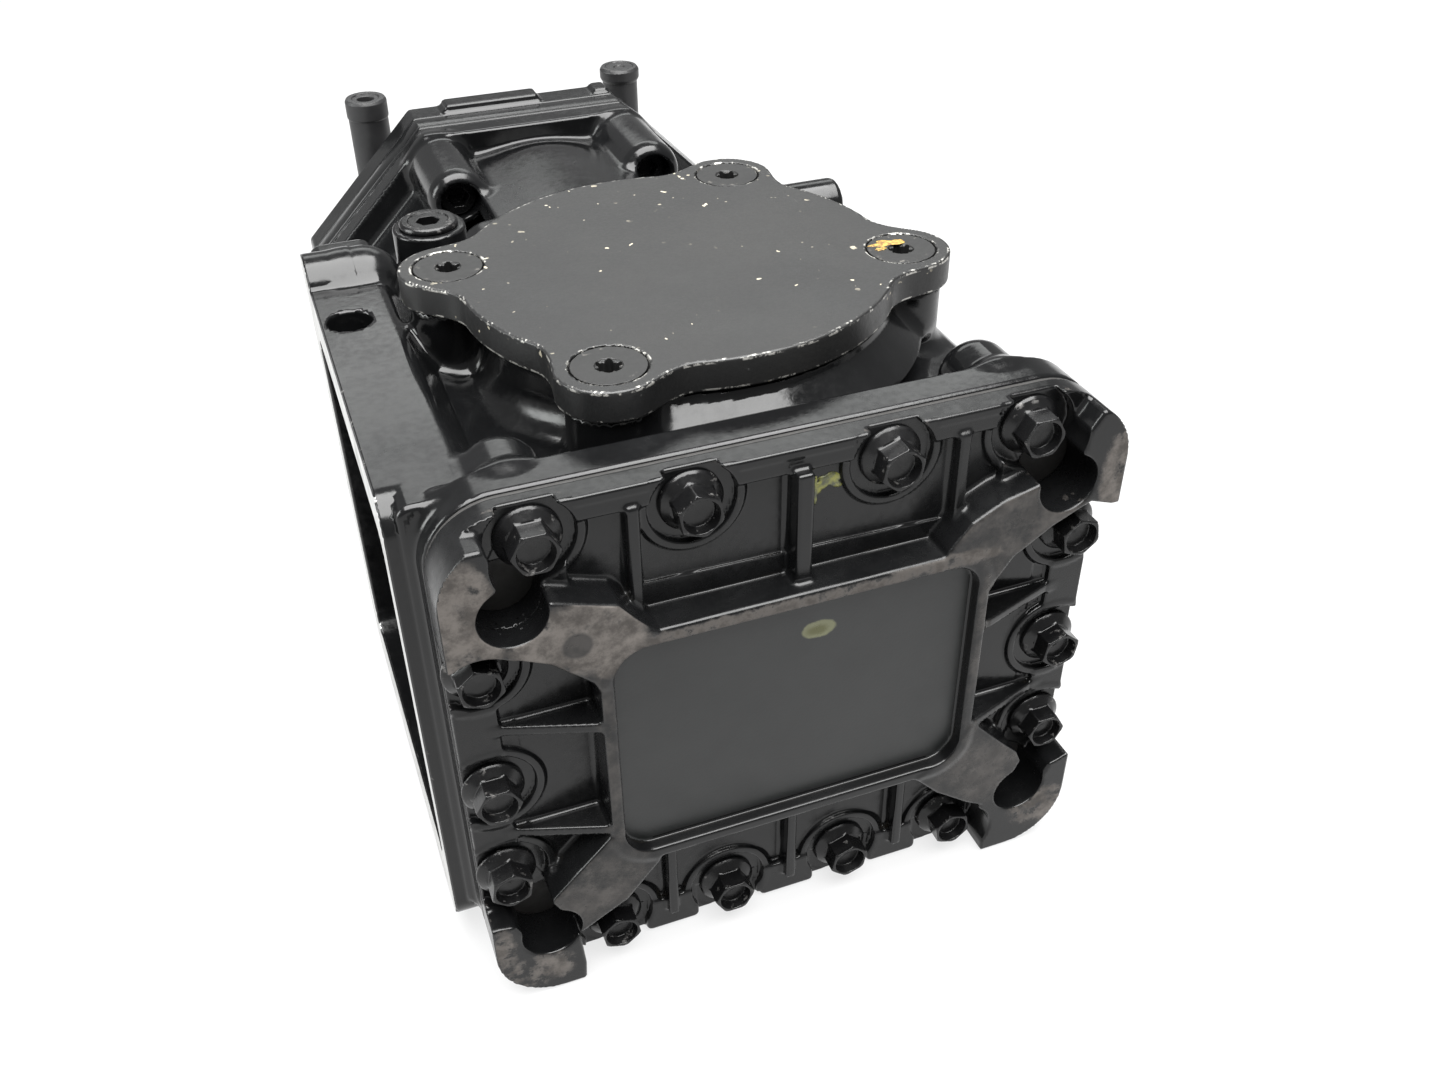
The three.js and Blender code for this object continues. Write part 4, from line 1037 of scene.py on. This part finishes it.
# ================================================================= the top cover
def top_cover_ops():
    z0 = TOP_Z - TOP_T
    outline = circ(*TOWER, TOP_R)
    discs = [circ(x, y, LOBE_R) for x, y in LOBES]

    def f2(u, v):
        d = outline[0](u, v)
        k = 7.0
        for f_, _ in discs:
            d = comb("+", d, f_(u, v), k)
        return d
    box = (TOWER[0] - 60, TOWER[1] - 60, TOWER[0] + 60, TOWER[1] + 60)
    ops = [("+", ex("z", (f2, box), z0, TOP_Z, 0.45), 0)]
    for x, y in LOBES:
        ops.append(("-", rev("z", x, y, [(0, z0 - 2), (4.6, z0 - 2), (4.6, TOP_Z - 3.6), (7.58, TOP_Z - 0.6), (7.58, TOP_Z + 2), (0, TOP_Z + 2)], 0), 0.12))
    return ops


lid = cast("top_cover_body", top_cover_ops(), axis_grid(-60, 62, 0.55), axis_grid(2, 122, 0.55),
           axis_grid(0.9, 2.6, 0.25, 7.0, 0.9, 8.8, 0.28), [LID], eps=0.04)
adopt(lid, "top_cover")


def screw_ops(x, y, turn):
    """Countersunk screw with a six-lobe socket."""
    def six(u, v):
        a = np.arctan2(v - y, u - x)
        return ln(u - x, v - y) - (2.34 + 0.43 * np.cos(6 * (a - turn)) - 0.04 * np.cos(12 * (a - turn)))
    t = TOP_Z
    return [("+", rev("z", x, y, [(0, -10), (3.4, -10), (4.0, -9.3), (4.0, t - 3.9), (7.05, t - 0.75), (7.25, t - 0.45), (7.25, t - 0.12), (0, t - 0.12)], 0), 0),
            ("-", ex("z", (six, (x - 4, y - 4, x + 4, y + 4)), t - 3.3, t + 2, 0), 0.12),
            ("-", rev("z", x, y, [(0, t - 0.45), (2.5, t - 0.45), (3.0, t + 0.2), (0, t + 0.2)], 0), 0)]


vs, qs, ns = surface(screw_ops(0, 0, 0.2), axis_grid(-8, 8, 0.26), axis_grid(-8, 8, 0.26), axis_grid(-10.6, 3.6, 0.9, 8.6, 0.26), eps=0.03)
ws = wear(screw_ops(0, 0, 0.2), vs, ns)
for i, (x, y) in enumerate(LOBES):
    t = (0.1, 0.55, 0.3, 0.0)[i]
    c, s = math.cos(t), math.sin(t)
    R = np.array([[c, -s, 0], [s, c, 0], [0, 0, 1]])
    o = make_mesh(f"lid_screw_{i + 1}", vs @ R.T + np.array([x, y, 0]), qs, ns @ R.T, ws, [SCREW])
    adopt(o, f"top_cover_screw_{i + 1}")


# ================================================================= plugs
def filler_ops():
    hexa = [(-41.5 + 2.9 * math.cos(k * math.pi / 3), 120 + 2.9 * math.sin(k * math.pi / 3)) for k in range(6)]
    return [("+", rev("z", -41.5, 120, [(0, -10), (5.2, -10), (5.2, -0.7), (7, -0.7), (7, -0.2), (6.7, 0.35), (6.2, 0.6), (0, 0.6)], 0), 0),
            ("-", rev("z", -41.5, 120, [(0, 0.3), (4.8, 0.3), (5.0, 2), (0, 2)], 0), 0.1),
            ("-", ex("z", poly(hexa, 0.1), -3.4, 2, 0), 0.15)]


adopt(cast("filler_plug_body", filler_ops(), axis_grid(-49.2, -33.8, 0.33), axis_grid(112.3, 127.7, 0.33), axis_grid(-10.6, -3.6, 0.9, 1.1, 0.3), [FASTENER], eps=0.03),
      "filler_plug")


def drain_ops():
    hexa = [(8.66 * math.cos(k * math.pi / 3), 60 + 8.66 * math.sin(k * math.pi / 3)) for k in range(6)]
    return [("+", ex("z", circ(0, 60, 6), -116.4, -106, 0.4), 0),
            ("+", ex("z", circ(0, 60, 10.5), -116.4, -115.1, 0.35), 0),
            ("+", ex("z", poly(hexa, 0.3), -119.3, -116, 0.3), 0.3),
            ("&", rev("z", 0, 60, [(0, -119.4), (7.7, -119.4), (9.2, -118.2), (11, -117.3), (11, -100), (0, -100)], 0), 0),
            ("-", ex("z", circ(0, 60, 3.5), -108.5, -100, 0), 0)]


adopt(cast("drain_plug_body", drain_ops(), axis_grid(-11.5, 11.5, 0.45), axis_grid(48.5, 71.5, 0.45), axis_grid(-120, -114.5, 0.4, -105, 0.8), [FASTENER], eps=0.04),
      "drain_plug")
ring_v, ring_f = lathe("z", 0, 60, [(6.5, -114.95), (6.8, -115), (9.7, -115), (10, -114.9), (10, -114.7), (9.7, -114.6), (6.8, -114.6), (6.5, -114.65), (6.5, -114.95)], 72)
adopt(plate_obj("drain_washer", [(ring_v, ring_f)], [COPPER]), "drain_plug_washer")


# ================================================================= gaskets
def circle(cx, cy, r, n=36):
    return [(cx + r * math.cos(2 * math.pi * i / n), cy + r * math.sin(2 * math.pi * i / n)) for i in range(n)]


def rr_pts(x0, y0, x1, y1, r, n=10):
    return (arc_pts(x1 - r, y1 - r, r, 0, 90, n) + arc_pts(x0 + r, y1 - r, r, 90, 180, n)
            + arc_pts(x0 + r, y0 + r, r, 180, 270, n) + arc_pts(x1 - r, y0 + r, r, 270, 360, n))


joint = rr_pts(-67.2, -119.2, 67.2, -0.3, 13.7)
adopt(plate_obj("joint_gasket", [plate(joint, [rr_pts(-54, -105, 54, -15, 22)] + [circle(x, z, 3.6, 16) for x, z in COVER_BOLTS], -0.4, 0.4, "y", 0.12, 2)], [PAPER]),
      "end_cover_gasket")


def lid_gasket_outline():
    pts = []
    for i in range(360):
        a = math.radians(i)
        d = (math.cos(a), math.sin(a))
        lo, hi = 30.0, 70.0
        for _ in range(22):
            mid = (lo + hi) / 2
            u, v = TOWER[0] + d[0] * mid, TOWER[1] + d[1] * mid
            f = math.hypot(u - TOWER[0], v - TOWER[1]) - 43.0
            for x, y in LOBES:
                g = math.hypot(u - x, v - y) - 8.7
                k = 5.0
                f = max(k, min(f, g)) - math.hypot(max(k - f, 0), max(k - g, 0))
            lo, hi = (mid, hi) if f < 0 else (lo, mid)
        pts.append((TOWER[0] + d[0] * lo, TOWER[1] + d[1] * lo))
    return pts


adopt(plate_obj("lid_gasket", [plate(lid_gasket_outline(), [circle(*TOWER, 35.3, 72)] + [circle(x, y, 4.7, 24) for x, y in LOBES], 1.0, 1.6, "z", 0.12, 2)], [PAPER]),
      "top_cover_gasket")


# ================================================================= the rear stack
oct0 = round_corners(octagon(0), 2.0, 5)
holes = [circle(*INPUT, 14, 56)] + [circle(x, z, 5.35, 32) for x, z in RAILS] + [circle(x, z, 3.6, 20) for x, z in BELL_BOLTS]
seal_pocket = [circle(*INPUT, 19.4, 72)] + [circle(x, z, 5.35, 32) for x, z in RAILS] + [circle(x, z, 3.6, 20) for x, z in BELL_BOLTS]
adapter = plate_obj("adapter_body", [plate(oct0, holes, 194.1, 196.3, "y", 0.5), plate(round_corners(octagon(0.0), 2.0, 5), seal_pocket, 196.0, 202.4, "y", 0.5)], [PAINT])
adopt(adapter, "adapter_plate")

mh = [circle(*INPUT, 24, 80)] + [circle(x, z, 6.2, 32) for x, z in RAILS] + [circle(x, z, 3.6, 20) for x, z in BELL_BOLTS]


def mount_ops():
    U = "+"
    ops = [(U, ex("y", poly(octagon(0), 2.0), 202.5, 212, 0.6), 0),
           (U, ex("y", poly([(-22, -6), (-20, -0.85), (7.5, -0.85), (9, -6)], 1.0), 204, 211, 0.9), 1.6),
           (U, ex("y", poly([(23.6, -6), (25, -1.6), (29, -1.6), (30.4, -6)], 0.8), 204, 211, 0.8), 1.2)]
    for s in (-1, 1):
        ops.append((U, ex("z", rrect(s * 40 - 5.5, 209, s * 40 + 5.5, 226, 1.5), -39, -30, 1.2), 1.5))
        ops.append((U, ex("z", circ(s * 40, 225, 9.3), -39, -30, 1.2), 1.2))
        ops.append(("-", ex("z", circ(s * 40, 228, 5.3), -50, -10, 0), 0.3))
    # rim round the input opening, shallow recesses between stiffening webs
    ops.append(("-", ex("y", circ(*INPUT, 24), 200, 215, 0), 0.8))
    for cx, cz, r in ((-36, -92, 11), (34, -96, 10), (-14, -24, 5)):
        ops.append(("-", ex("y", circ(cx, cz, r), 209.5, 215, 0.6), 0.8))
    for x, z in RAILS:
        ops.append(("-", ex("y", circ(x, z, 6.2), 200, 215, 0), 0.6))
    for x, z in BELL_BOLTS:
        ops.append(("-", ex("y", circ(x, z, 3.6), 200, 210, 0), 0))
    return ops


adopt(cast("mounting_body", mount_ops(), axis_grid(-66, 66, 0.8), axis_grid(201.6, 213, 0.65, 238, 1.1), axis_grid(-121, 0.8, 0.8), [PAINT], eps=0.06),
      "mounting_plate")


def sleeve_ops(s):
    x, y = s * 40, 228
    if s < 0:
        prof = [(0, -40), (4.9, -40), (4.9, -29.8), (5.9, -29.6), (5.9, -9.0), (6.2, -8.6), (6.2, -3.9), (5.7, -3.1), (5.0, -3.0), (0, -3.0)]
    else:
        prof = [(0, -40), (4.9, -40), (4.9, -29.8), (5.5, -29.6), (5.5, -7.6), (5.9, -7.0), (6.2, -6.4), (6.2, -4.0), (5.6, -3.15), (4.8, -3.0), (0, -3.0)]
    ops = [("+", rev("z", x, y, prof, 0), 0)]
    if s < 0:
        ops.append(("-", ex("z", circ(x, y, 2.5), -60, 5, 0), 0.5))
        ops.append(("-", rev("z", x, y, [(0, -3.5), (4.0, -3.5), (4.3, 0), (0, 0)], 0), 0.3))
    else:
        ops.append(("-", ex("z", circ(x, y, 2.5), -60, -6, 0), 0.2))
        ops.append(("-", rev("z", x, y, [(0, -3.35), (4.3, -3.35), (4.6, 0), (0, 0)], 0), 0.3))
        ops.append(("-", rev("z", x, y, [(0, -3.9), (1.7, -3.8), (1.9, 0), (0, 0)], 0), 0.3))
    return ops


for name, s in (("mount_sleeve_left", -1), ("mount_sleeve_right", 1)):
    adopt(cast(name + "_body", sleeve_ops(s), axis_grid(s * 40 - 7, s * 40 + 7, 0.4), axis_grid(221, 235, 0.4), axis_grid(-40.8, -9.6, 0.9, -2.2, 0.35), [SLEEVE], eps=0.04),
          name)


def bell_bolt_ops():
    hexa = [(2.9 * math.cos(k * math.pi / 3), 2.9 * math.sin(k * math.pi / 3)) for k in range(6)]
    return [("+", ex("y", circ(0, 0, 5), 161, 166.9, 0.45), 0), ("+", ex("y", circ(0, 0, 3), 166, 208, 0.4), 0),
            ("-", ex("y", poly(hexa, 0.1), 159, 164, 0), 0.12)]


vq, qq, nq = surface(bell_bolt_ops(), axis_grid(-5.8, 5.8, 0.4), axis_grid(160.2, 167.6, 0.4, 209, 1.2), axis_grid(-5.8, 5.8, 0.4), eps=0.04)
wq = wear(bell_bolt_ops(), vq, nq)
for i, (x, z) in enumerate(BELL_BOLTS):
    adopt(make_mesh(f"bell_screw_{i + 1}", vq + np.array([x, 0, z]), qq, nq, wq, [FASTENER]), f"bell_bolt_{i + 1}")

sv, sf = lathe("y", *INPUT, [(9.25, 197.1), (18.7, 197.1), (19, 197.4), (19, 202.0), (18.7, 202.3), (17.2, 202.3), (16.6, 201.6), (12.6, 201.4), (11.6, 202.1),
                             (10.9, 202.1), (10.6, 201.2), (10.2, 199.2), (9.25, 198.8), (9.25, 197.1)], 96)
adopt(plate_obj("shaft_seal", [(sv, sf)], [RUBBER], 50), "input_oil_seal")


# ================================================================= gears and shafts
MODULE = 2
TEETH = [(15, 29), (19, 25), (22, 22), (25, 19)]
GEAR_Y = [15, 46.2, 72.2, 103.4]
BAY_Y = [35.6, 92.8]
LINE = math.degrees(math.atan2(OUTPUT[1] - INPUT[1], OUTPUT[0] - INPUT[0]))


def gear_outline(cx, cz, m, N, phase):
    pressure = math.radians(20)
    rp = m * N / 2
    rb, ra, rf = rp * math.cos(pressure), rp + 0.95 * m, rp - 1.25 * m
    half = math.pi / (2 * N) - 0.16 / rp

    def at_(r):
        rr = max(r, rb)
        b = math.acos(rb / rr)
        return half + (math.tan(pressure) - pressure) - (math.tan(b) - b)
    r0 = max(rf, rb) + 0.05
    radii = [rf] + list(np.linspace(r0, ra - 0.15, 5)) + [ra]
    out = []
    for k in range(N):
        c = math.radians(phase) + k * 2 * math.pi / N
        for j, r_ in enumerate(radii):
            a = at_(r_) + (0.10 / rf * 2 if j == 0 else 0) - (0.12 / ra if j == len(radii) - 1 else 0)
            out.append((cx + r_ * math.cos(c - a), cz + r_ * math.sin(c - a)))
        for j, r_ in list(enumerate(radii))[::-1]:
            a = at_(r_) + (0.10 / rf * 2 if j == 0 else 0) - (0.12 / ra if j == len(radii) - 1 else 0)
            out.append((cx + r_ * math.cos(c + a), cz + r_ * math.sin(c + a)))
    return out


def gear_sets(cx, cz, m, N, phase, y0, y1, bore, web=True):
    rp = m * N / 2
    sets = [plate(gear_outline(cx, cz, m, N, phase), [circle(cx, cz, bore, 48)], y0, y1, "y", 0.25, 2)]
    return sets


NAMES = ["first", "second", "third", "fourth"]
for i, (n1, n2) in enumerate(TEETH):
    y = GEAR_Y[i]
    adopt(plate_obj(f"drive_{NAMES[i]}", gear_sets(*INPUT, MODULE, n1, LINE, y, y + 10, 9.3), [STEEL], 30), f"drive_gear_{NAMES[i]}")
    sets = gear_sets(*OUTPUT, MODULE, n2, LINE + 180 + 180 / n2, y, y + 10, 12.6)
    if i % 2:
        prof = [(12.7, y - 4.6), (14.9, y - 4.6), (15.2, y - 4.3), (16.2, y - 0.1), (16.2, y + 1), (12.7, y + 1), (12.7, y - 4.6)]
    else:
        prof = [(12.7, y + 9), (16.2, y + 9), (16.2, y + 10.1), (15.2, y + 14.3), (14.9, y + 14.6), (12.7, y + 14.6), (12.7, y + 9)]
    sets.append(lathe("y", *OUTPUT, prof, 72))
    adopt(plate_obj(f"driven_{NAMES[i]}", sets, [STEEL], 30), f"driven_gear_{NAMES[i]}")
adopt(plate_obj("pinion", gear_sets(*OUTPUT, 2.5, 24, 180, 57.2, 71.2, 12.4), [STEEL], 30), "output_pinion")


def splined(cx, cz, r_out, r_in, n, y0, y1, half):
    pts = []
    for k in range(n):
        c = 2 * math.pi * k / n
        for a, r_ in ((-half, r_in), (-half * 0.86, r_out), (half * 0.86, r_out), (half, r_in)):
            pts.append((cx + r_ * math.cos(c + a), cz + r_ * math.sin(c + a)))
    return plate(pts, [], y0, y1, "y", 0.3, 2)


shaft_in = [lathe("y", *INPUT, [(0, 3), (7.9, 3), (8.3, 3.4), (8.3, 13.3), (9, 13.6), (9, 115.8), (8.3, 116.1), (8.3, 196), (8.3, 199.4), (7.3, 200.6),
                                (7.3, 210.4), (6.7, 211), (0, 211)], 72),
            splined(*INPUT, 8.3, 7.25, 8, 200.6, 210.3, 0.24)]
adopt(plate_obj("shaft_input", shaft_in, [STEEL], 30), "input_shaft")

shaft_out = [lathe("y", *OUTPUT, [(0, 3), (7.9, 3), (8.3, 3.4), (8.3, 13.3), (12, 13.6), (12, 25.4), (10.6, 25.6), (10.6, 45.7), (12, 45.9), (12, 82.6), (10.6, 82.8), (10.6, 102.9),
                                  (12, 103.1), (12, 115), (8.3, 115.3), (8.3, 127.6), (7.9, 128), (0, 128)], 72)]
for yc in BAY_Y:
    pts = []
    for k in range(6):
        c = math.radians(k * 60)
        h = 2.2 / 12
        for a, r_ in ((h, 10.5), (h * 1.02, 12.0), (math.radians(30), 12.0), (math.radians(60) - h * 1.02, 12.0), (math.radians(60) - h, 10.5)):
            pts.append((OUTPUT[0] + r_ * math.cos(c + a), OUTPUT[1] + r_ * math.sin(c + a)))
    shaft_out.append(plate(pts, [], yc - 10.1, yc + 10.1, "y", 0.15, 1))
adopt(plate_obj("shaft_output", shaft_out, [STEEL], 30), "output_shaft")


def bearing(cx, cz, y):
    sets = [lathe("y", cx, cz, [(14.6, y), (17.1, y), (17.4, y + 0.4), (17.4, y + 9.6), (17.1, y + 10), (14.6, y + 10), (14.4, y + 7), (14.9, y + 5), (14.4, y + 3), (14.6, y)], 72),
            lathe("y", cx, cz, [(8.8, y + 0.4), (9.1, y), (11.4, y), (11.6, y + 3), (11.1, y + 5), (11.6, y + 7), (11.4, y + 10), (9.1, y + 10), (8.8, y + 9.6), (8.8, y + 0.4)], 72),
            lathe("y", cx, cz, [(12.4, y + 2.2), (13.6, y + 2.2), (13.6, y + 7.8), (12.4, y + 7.8), (12.4, y + 2.2)], 72)]
    for k in range(9):
        a = 2 * math.pi * k / 9
        bx, bz = cx + 13 * math.cos(a), cz + 13 * math.sin(a)
        sets.append(lathe("y", bx, bz, [(0, y + 2.9), (0.9, y + 3.1), (1.6, y + 3.75), (2.0, y + 5), (1.6, y + 6.25), (0.9, y + 6.9), (0, y + 7.1)], 14))
    return sets


for nm, c, y in (("input_bearing_front", INPUT, 2.8), ("input_bearing_rear", INPUT, 118.2), ("output_bearing_front", OUTPUT, 2.8), ("output_bearing_rear", OUTPUT, 118.2)):
    adopt(plate_obj(nm + "_rings", bearing(*c, y), [STEEL], 40), nm)

for i, yc in enumerate(BAY_Y):
    name = ("front", "rear")[i]
    prof = [(12.4, yc - 2.6), (15.45, yc - 2.6), (15.95, yc - 5), (19.6, yc - 5), (20, yc - 4.6), (20, yc - 3.1), (19.7, yc - 2.8), (16.8, yc - 2.8), (16.8, yc + 2.8),
            (19.7, yc + 2.8), (20, yc + 3.1), (20, yc + 4.6), (19.6, yc + 5), (15.95, yc + 5), (15.45, yc + 2.6), (12.4, yc + 2.6), (12.4, yc - 2.6)]
    sets = [lathe("y", *OUTPUT, prof, 84)]
    for k in range(6):
        a = math.radians(60 * k)
        ca, sa = math.cos(a), math.sin(a)
        q = [(10.9, -1.6), (12.9, -1.6), (12.9, 1.6), (10.9, 1.6)]
        sets.append(plate([(OUTPUT[0] + ca * u - sa * v, OUTPUT[1] + sa * u + ca * v) for u, v in q], [], yc - 2.6, yc + 2.6, "y", 0.2, 1))
    adopt(plate_obj(f"sleeve_{name}", sets, [DARK_STEEL], 30), f"shift_sleeve_{name}")

    rx, rz = RAILS[i]
    d = math.atan2(rz - OUTPUT[1], rx - OUTPUT[0])
    dd = math.degrees(d)
    ux, uz = math.cos(d), math.sin(d)
    far = math.hypot(rx - OUTPUT[0], rz - OUTPUT[1])

    def q(t, w):
        return OUTPUT[0] + ux * t - uz * w, OUTPUT[1] + uz * t + ux * w

    def sector2(u, v, dd=dd):
        # ring between two radii, kept within 96 degrees either side of the arm
        r_ = ln(u - OUTPUT[0], v - OUTPUT[1])
        a = np.arctan2(v - OUTPUT[1], u - OUTPUT[0]) - math.radians(dd)
        a = np.abs((a + math.pi) % (2 * math.pi) - math.pi)
        ring_ = np.abs(r_ - 20.85) - 3.65
        end = (a - math.radians(94)) * 20.0
        return np.maximum(ring_, end)
    box = (OUTPUT[0] - 25, OUTPUT[1] - 25, OUTPUT[0] + 25, OUTPUT[1] + 25)
    ops = [("+", ex("y", (sector2, box), yc - 2.4, yc + 2.4, 0.4), 0),
           ("+", ex("y", poly([q(19, -9), q(far, -6.5), q(far, 6.5), q(19, 9)], 1.0), yc - 2.4, yc + 2.4, 0.8), 1.5),
           ("+", ex("y", circ(rx, rz, 8.6), yc - 6.5, yc + 6.5, 0.6), 1.8),
           ("-", ex("y", circ(*OUTPUT, 17.2), yc - 10, yc + 10, 0), 0.2),
           ("-", ex("y", circ(rx, rz, 5.25), yc - 10, yc + 10, 0), 0.4)]
    lo = (min(rx - 9, OUTPUT[0] - 25.5), min(rz - 9, OUTPUT[1] - 25.5))
    hi = (max(rx + 9, OUTPUT[0] + 25.5), max(rz + 9, OUTPUT[1] + 25.5))
    adopt(cast(f"fork_{name}", ops, axis_grid(lo[0] - 1, hi[0] + 1, 0.6), axis_grid(yc - 7.2, yc + 7.2, 0.6), axis_grid(lo[1] - 1, hi[1] + 1, 0.6), [DARK_STEEL], with_wear=False),
          f"shift_fork_{name}")
    rail = [lathe("y", rx, rz, [(0, 5), (4.2, 5), (5, 5.8), (5, 211.3), (3.4, 211.7), (3.4, 212.9), (5, 213.3), (5, 214.6), (4.5, 215.2), (0, 215.2)], 48)]
    adopt(plate_obj(f"rail_{name}", rail, [STEEL], 35), f"shift_rail_{name}")


# ================================================================= residue
def flake(name, centre, size, mat, axis="z", seed=1, height=0.22, lobes=5):
    """A thin dried smear with an uneven edge."""
    rng = np.random.default_rng(seed)
    n = 40
    ph = rng.uniform(0, 2 * math.pi, lobes)
    am = rng.uniform(0.05, 0.22, lobes)
    iu, iv, iw = AX[axis]
    V, Fc = [], []
    rings = [(1.0, 0.0), (0.93, 0.6), (0.75, 0.9), (0.45, 1.0), (0.0, 0.95)]
    for k, (s, h) in enumerate(rings):
        for i in range(n if s > 0 else 1):
            a = 2 * math.pi * i / n
            w = 1 + sum(am[j] * math.cos((j + 2) * a + ph[j]) for j in range(lobes))
            p = [0, 0, 0]
            p[iu] = centre[iu] + size[0] * s * w * math.cos(a)
            p[iv] = centre[iv] + size[1] * s * w * math.sin(a)
            p[iw] = centre[iw] + (h - 0.15) * height
            V.append(p)
    for k in range(len(rings) - 1):
        for i in range(n):
            j = (i + 1) % n
            if rings[k + 1][0] > 0:
                Fc.append([k * n + i, k * n + j, (k + 1) * n + j, (k + 1) * n + i])
            else:
                Fc.append([k * n + i, k * n + j, (k + 1) * n])
    b = len(V)
    V += [[v[0] - (0.0 if iw != 0 else 0.1), v[1], v[2]] for v in V[:n]]
    for i in range(b, b + n):
        V[i][iw] -= 0.2 * height * (1 if height > 0 else 1)
    for i in range(n):
        j = (i + 1) % n
        Fc.append([b + i, b + j, j, i])
    Fc.append(list(range(b, b + n))[::-1])
    o = make_mesh(name, np.array(V), Fc, mats=[mat])
    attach(o, "housing")
    return o


x, y = LOBES[2]
flake("residue_on_lid", (x - 1.5, y + 3.4, TOP_Z - 0.02), (3.6, 1.5), RESIDUE, "z", 3, 0.32)
flake("residue_on_lid_2", (x - 4.2, y + 1.2, TOP_Z - 0.02), (1.2, 0.7), RESIDUE, "z", 5, 0.25)
flake("sealant_dab_on_cover", (7.2, -3.78, -9.8), (3.0, 1.9), DAB, "y", 9, -0.45)
flake("sealant_dab_on_cover_2", (4.1, -3.78, -10.8), (1.3, 3.0), DAB, "y", 11, -0.55)


# ================================================================= floor, lights, camera
def floor_material():
    m, nt, b = new_mat("floor_white")
    g = Graph(nt)
    g.link(g.mix(g.ramp(g.noise(3, 2, 0.5), 0.3, 0.7), (0.115, 0.115, 0.115), (0.125, 0.125, 0.126)), b.inputs["Base Color"])
    b.inputs["Roughness"].default_value = 0.7
    b.inputs["Specular IOR Level"].default_value = 0.1
    b.inputs["Emission Color"].default_value = (1, 1, 1, 1)
    b.inputs["Emission Strength"].default_value = 0.74
    return m


me = bpy.data.meshes.new("floor")
S = 6.0
me.from_pydata([(-S, -S, 0), (S, -S, 0), (S, S, 0), (-S, S, 0)], [], [(0, 1, 2, 3)])
floor = bpy.data.objects.new("floor", me)
bpy.context.scene.collection.objects.link(floor)
me.materials.append(floor_material())
floor.location.z = -0.0004
floor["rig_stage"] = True

world = bpy.data.worlds.new("studio")
bpy.context.scene.world = world
world.use_nodes = True
bg = world.node_tree.nodes["Background"]
bg.inputs["Color"].default_value = (1.0, 1.0, 1.0, 1)
bg.inputs["Strength"].default_value = 0.30


def area(name, loc, target, size, power, colour=(1, 1, 1)):
    d = bpy.data.lights.new(name, "AREA")
    d.shape = "RECTANGLE"
    d.size, d.size_y = size
    d.energy = power
    d.color = colour
    o = bpy.data.objects.new(name, d)
    bpy.context.scene.collection.objects.link(o)
    o.location = loc
    o.rotation_euler = (Vector(target) - Vector(loc)).to_track_quat("-Z", "Y").to_euler()
    return o


area("overhead", (0.02, -0.20, 1.10), (0.02, -0.12, 0.05), (1.25, 1.30), 68, (1.0, 0.998, 0.99))
area("left_window", (-1.25, 0.15, 0.50), (0, 0.02, 0.08), (0.6, 0.7), 13, (0.97, 1.0, 0.985))
area("back_panel", (0.35, 1.4, 1.05), (0, 0.05, 0.08), (1.3, 0.45), 4.5, (0.98, 1.0, 0.985))

cam_d = bpy.data.cameras.new("camera")
cam = bpy.data.objects.new("camera", cam_d)
bpy.context.scene.collection.objects.link(cam)
cam_d.sensor_fit = "HORIZONTAL"
cam_d.sensor_width = 36
cam_d.lens = 33.605
cam_d.clip_start, cam_d.clip_end = 0.01, 50
RM = [[0.9336964454333585, -0.35792910583915793, -0.009884481690626556],
      [-0.21945168231023537, -0.5502140340102617, -0.8056708235435625],
      [0.28293445692654506, 0.7544211502677635, -0.5922810322071319]]
right, down, ahead = (Vector(r_) for r_ in RM)
cam.matrix_world = Matrix(((right.x, -down.x, -ahead.x, -0.08199), (right.y, -down.y, -ahead.y, -0.30172),
                           (right.z, -down.z, -ahead.z, 0.24803), (0, 0, 0, 1)))
bpy.context.scene.camera = cam
bpy.context.scene.view_settings.view_transform = "Standard"

lo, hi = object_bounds()
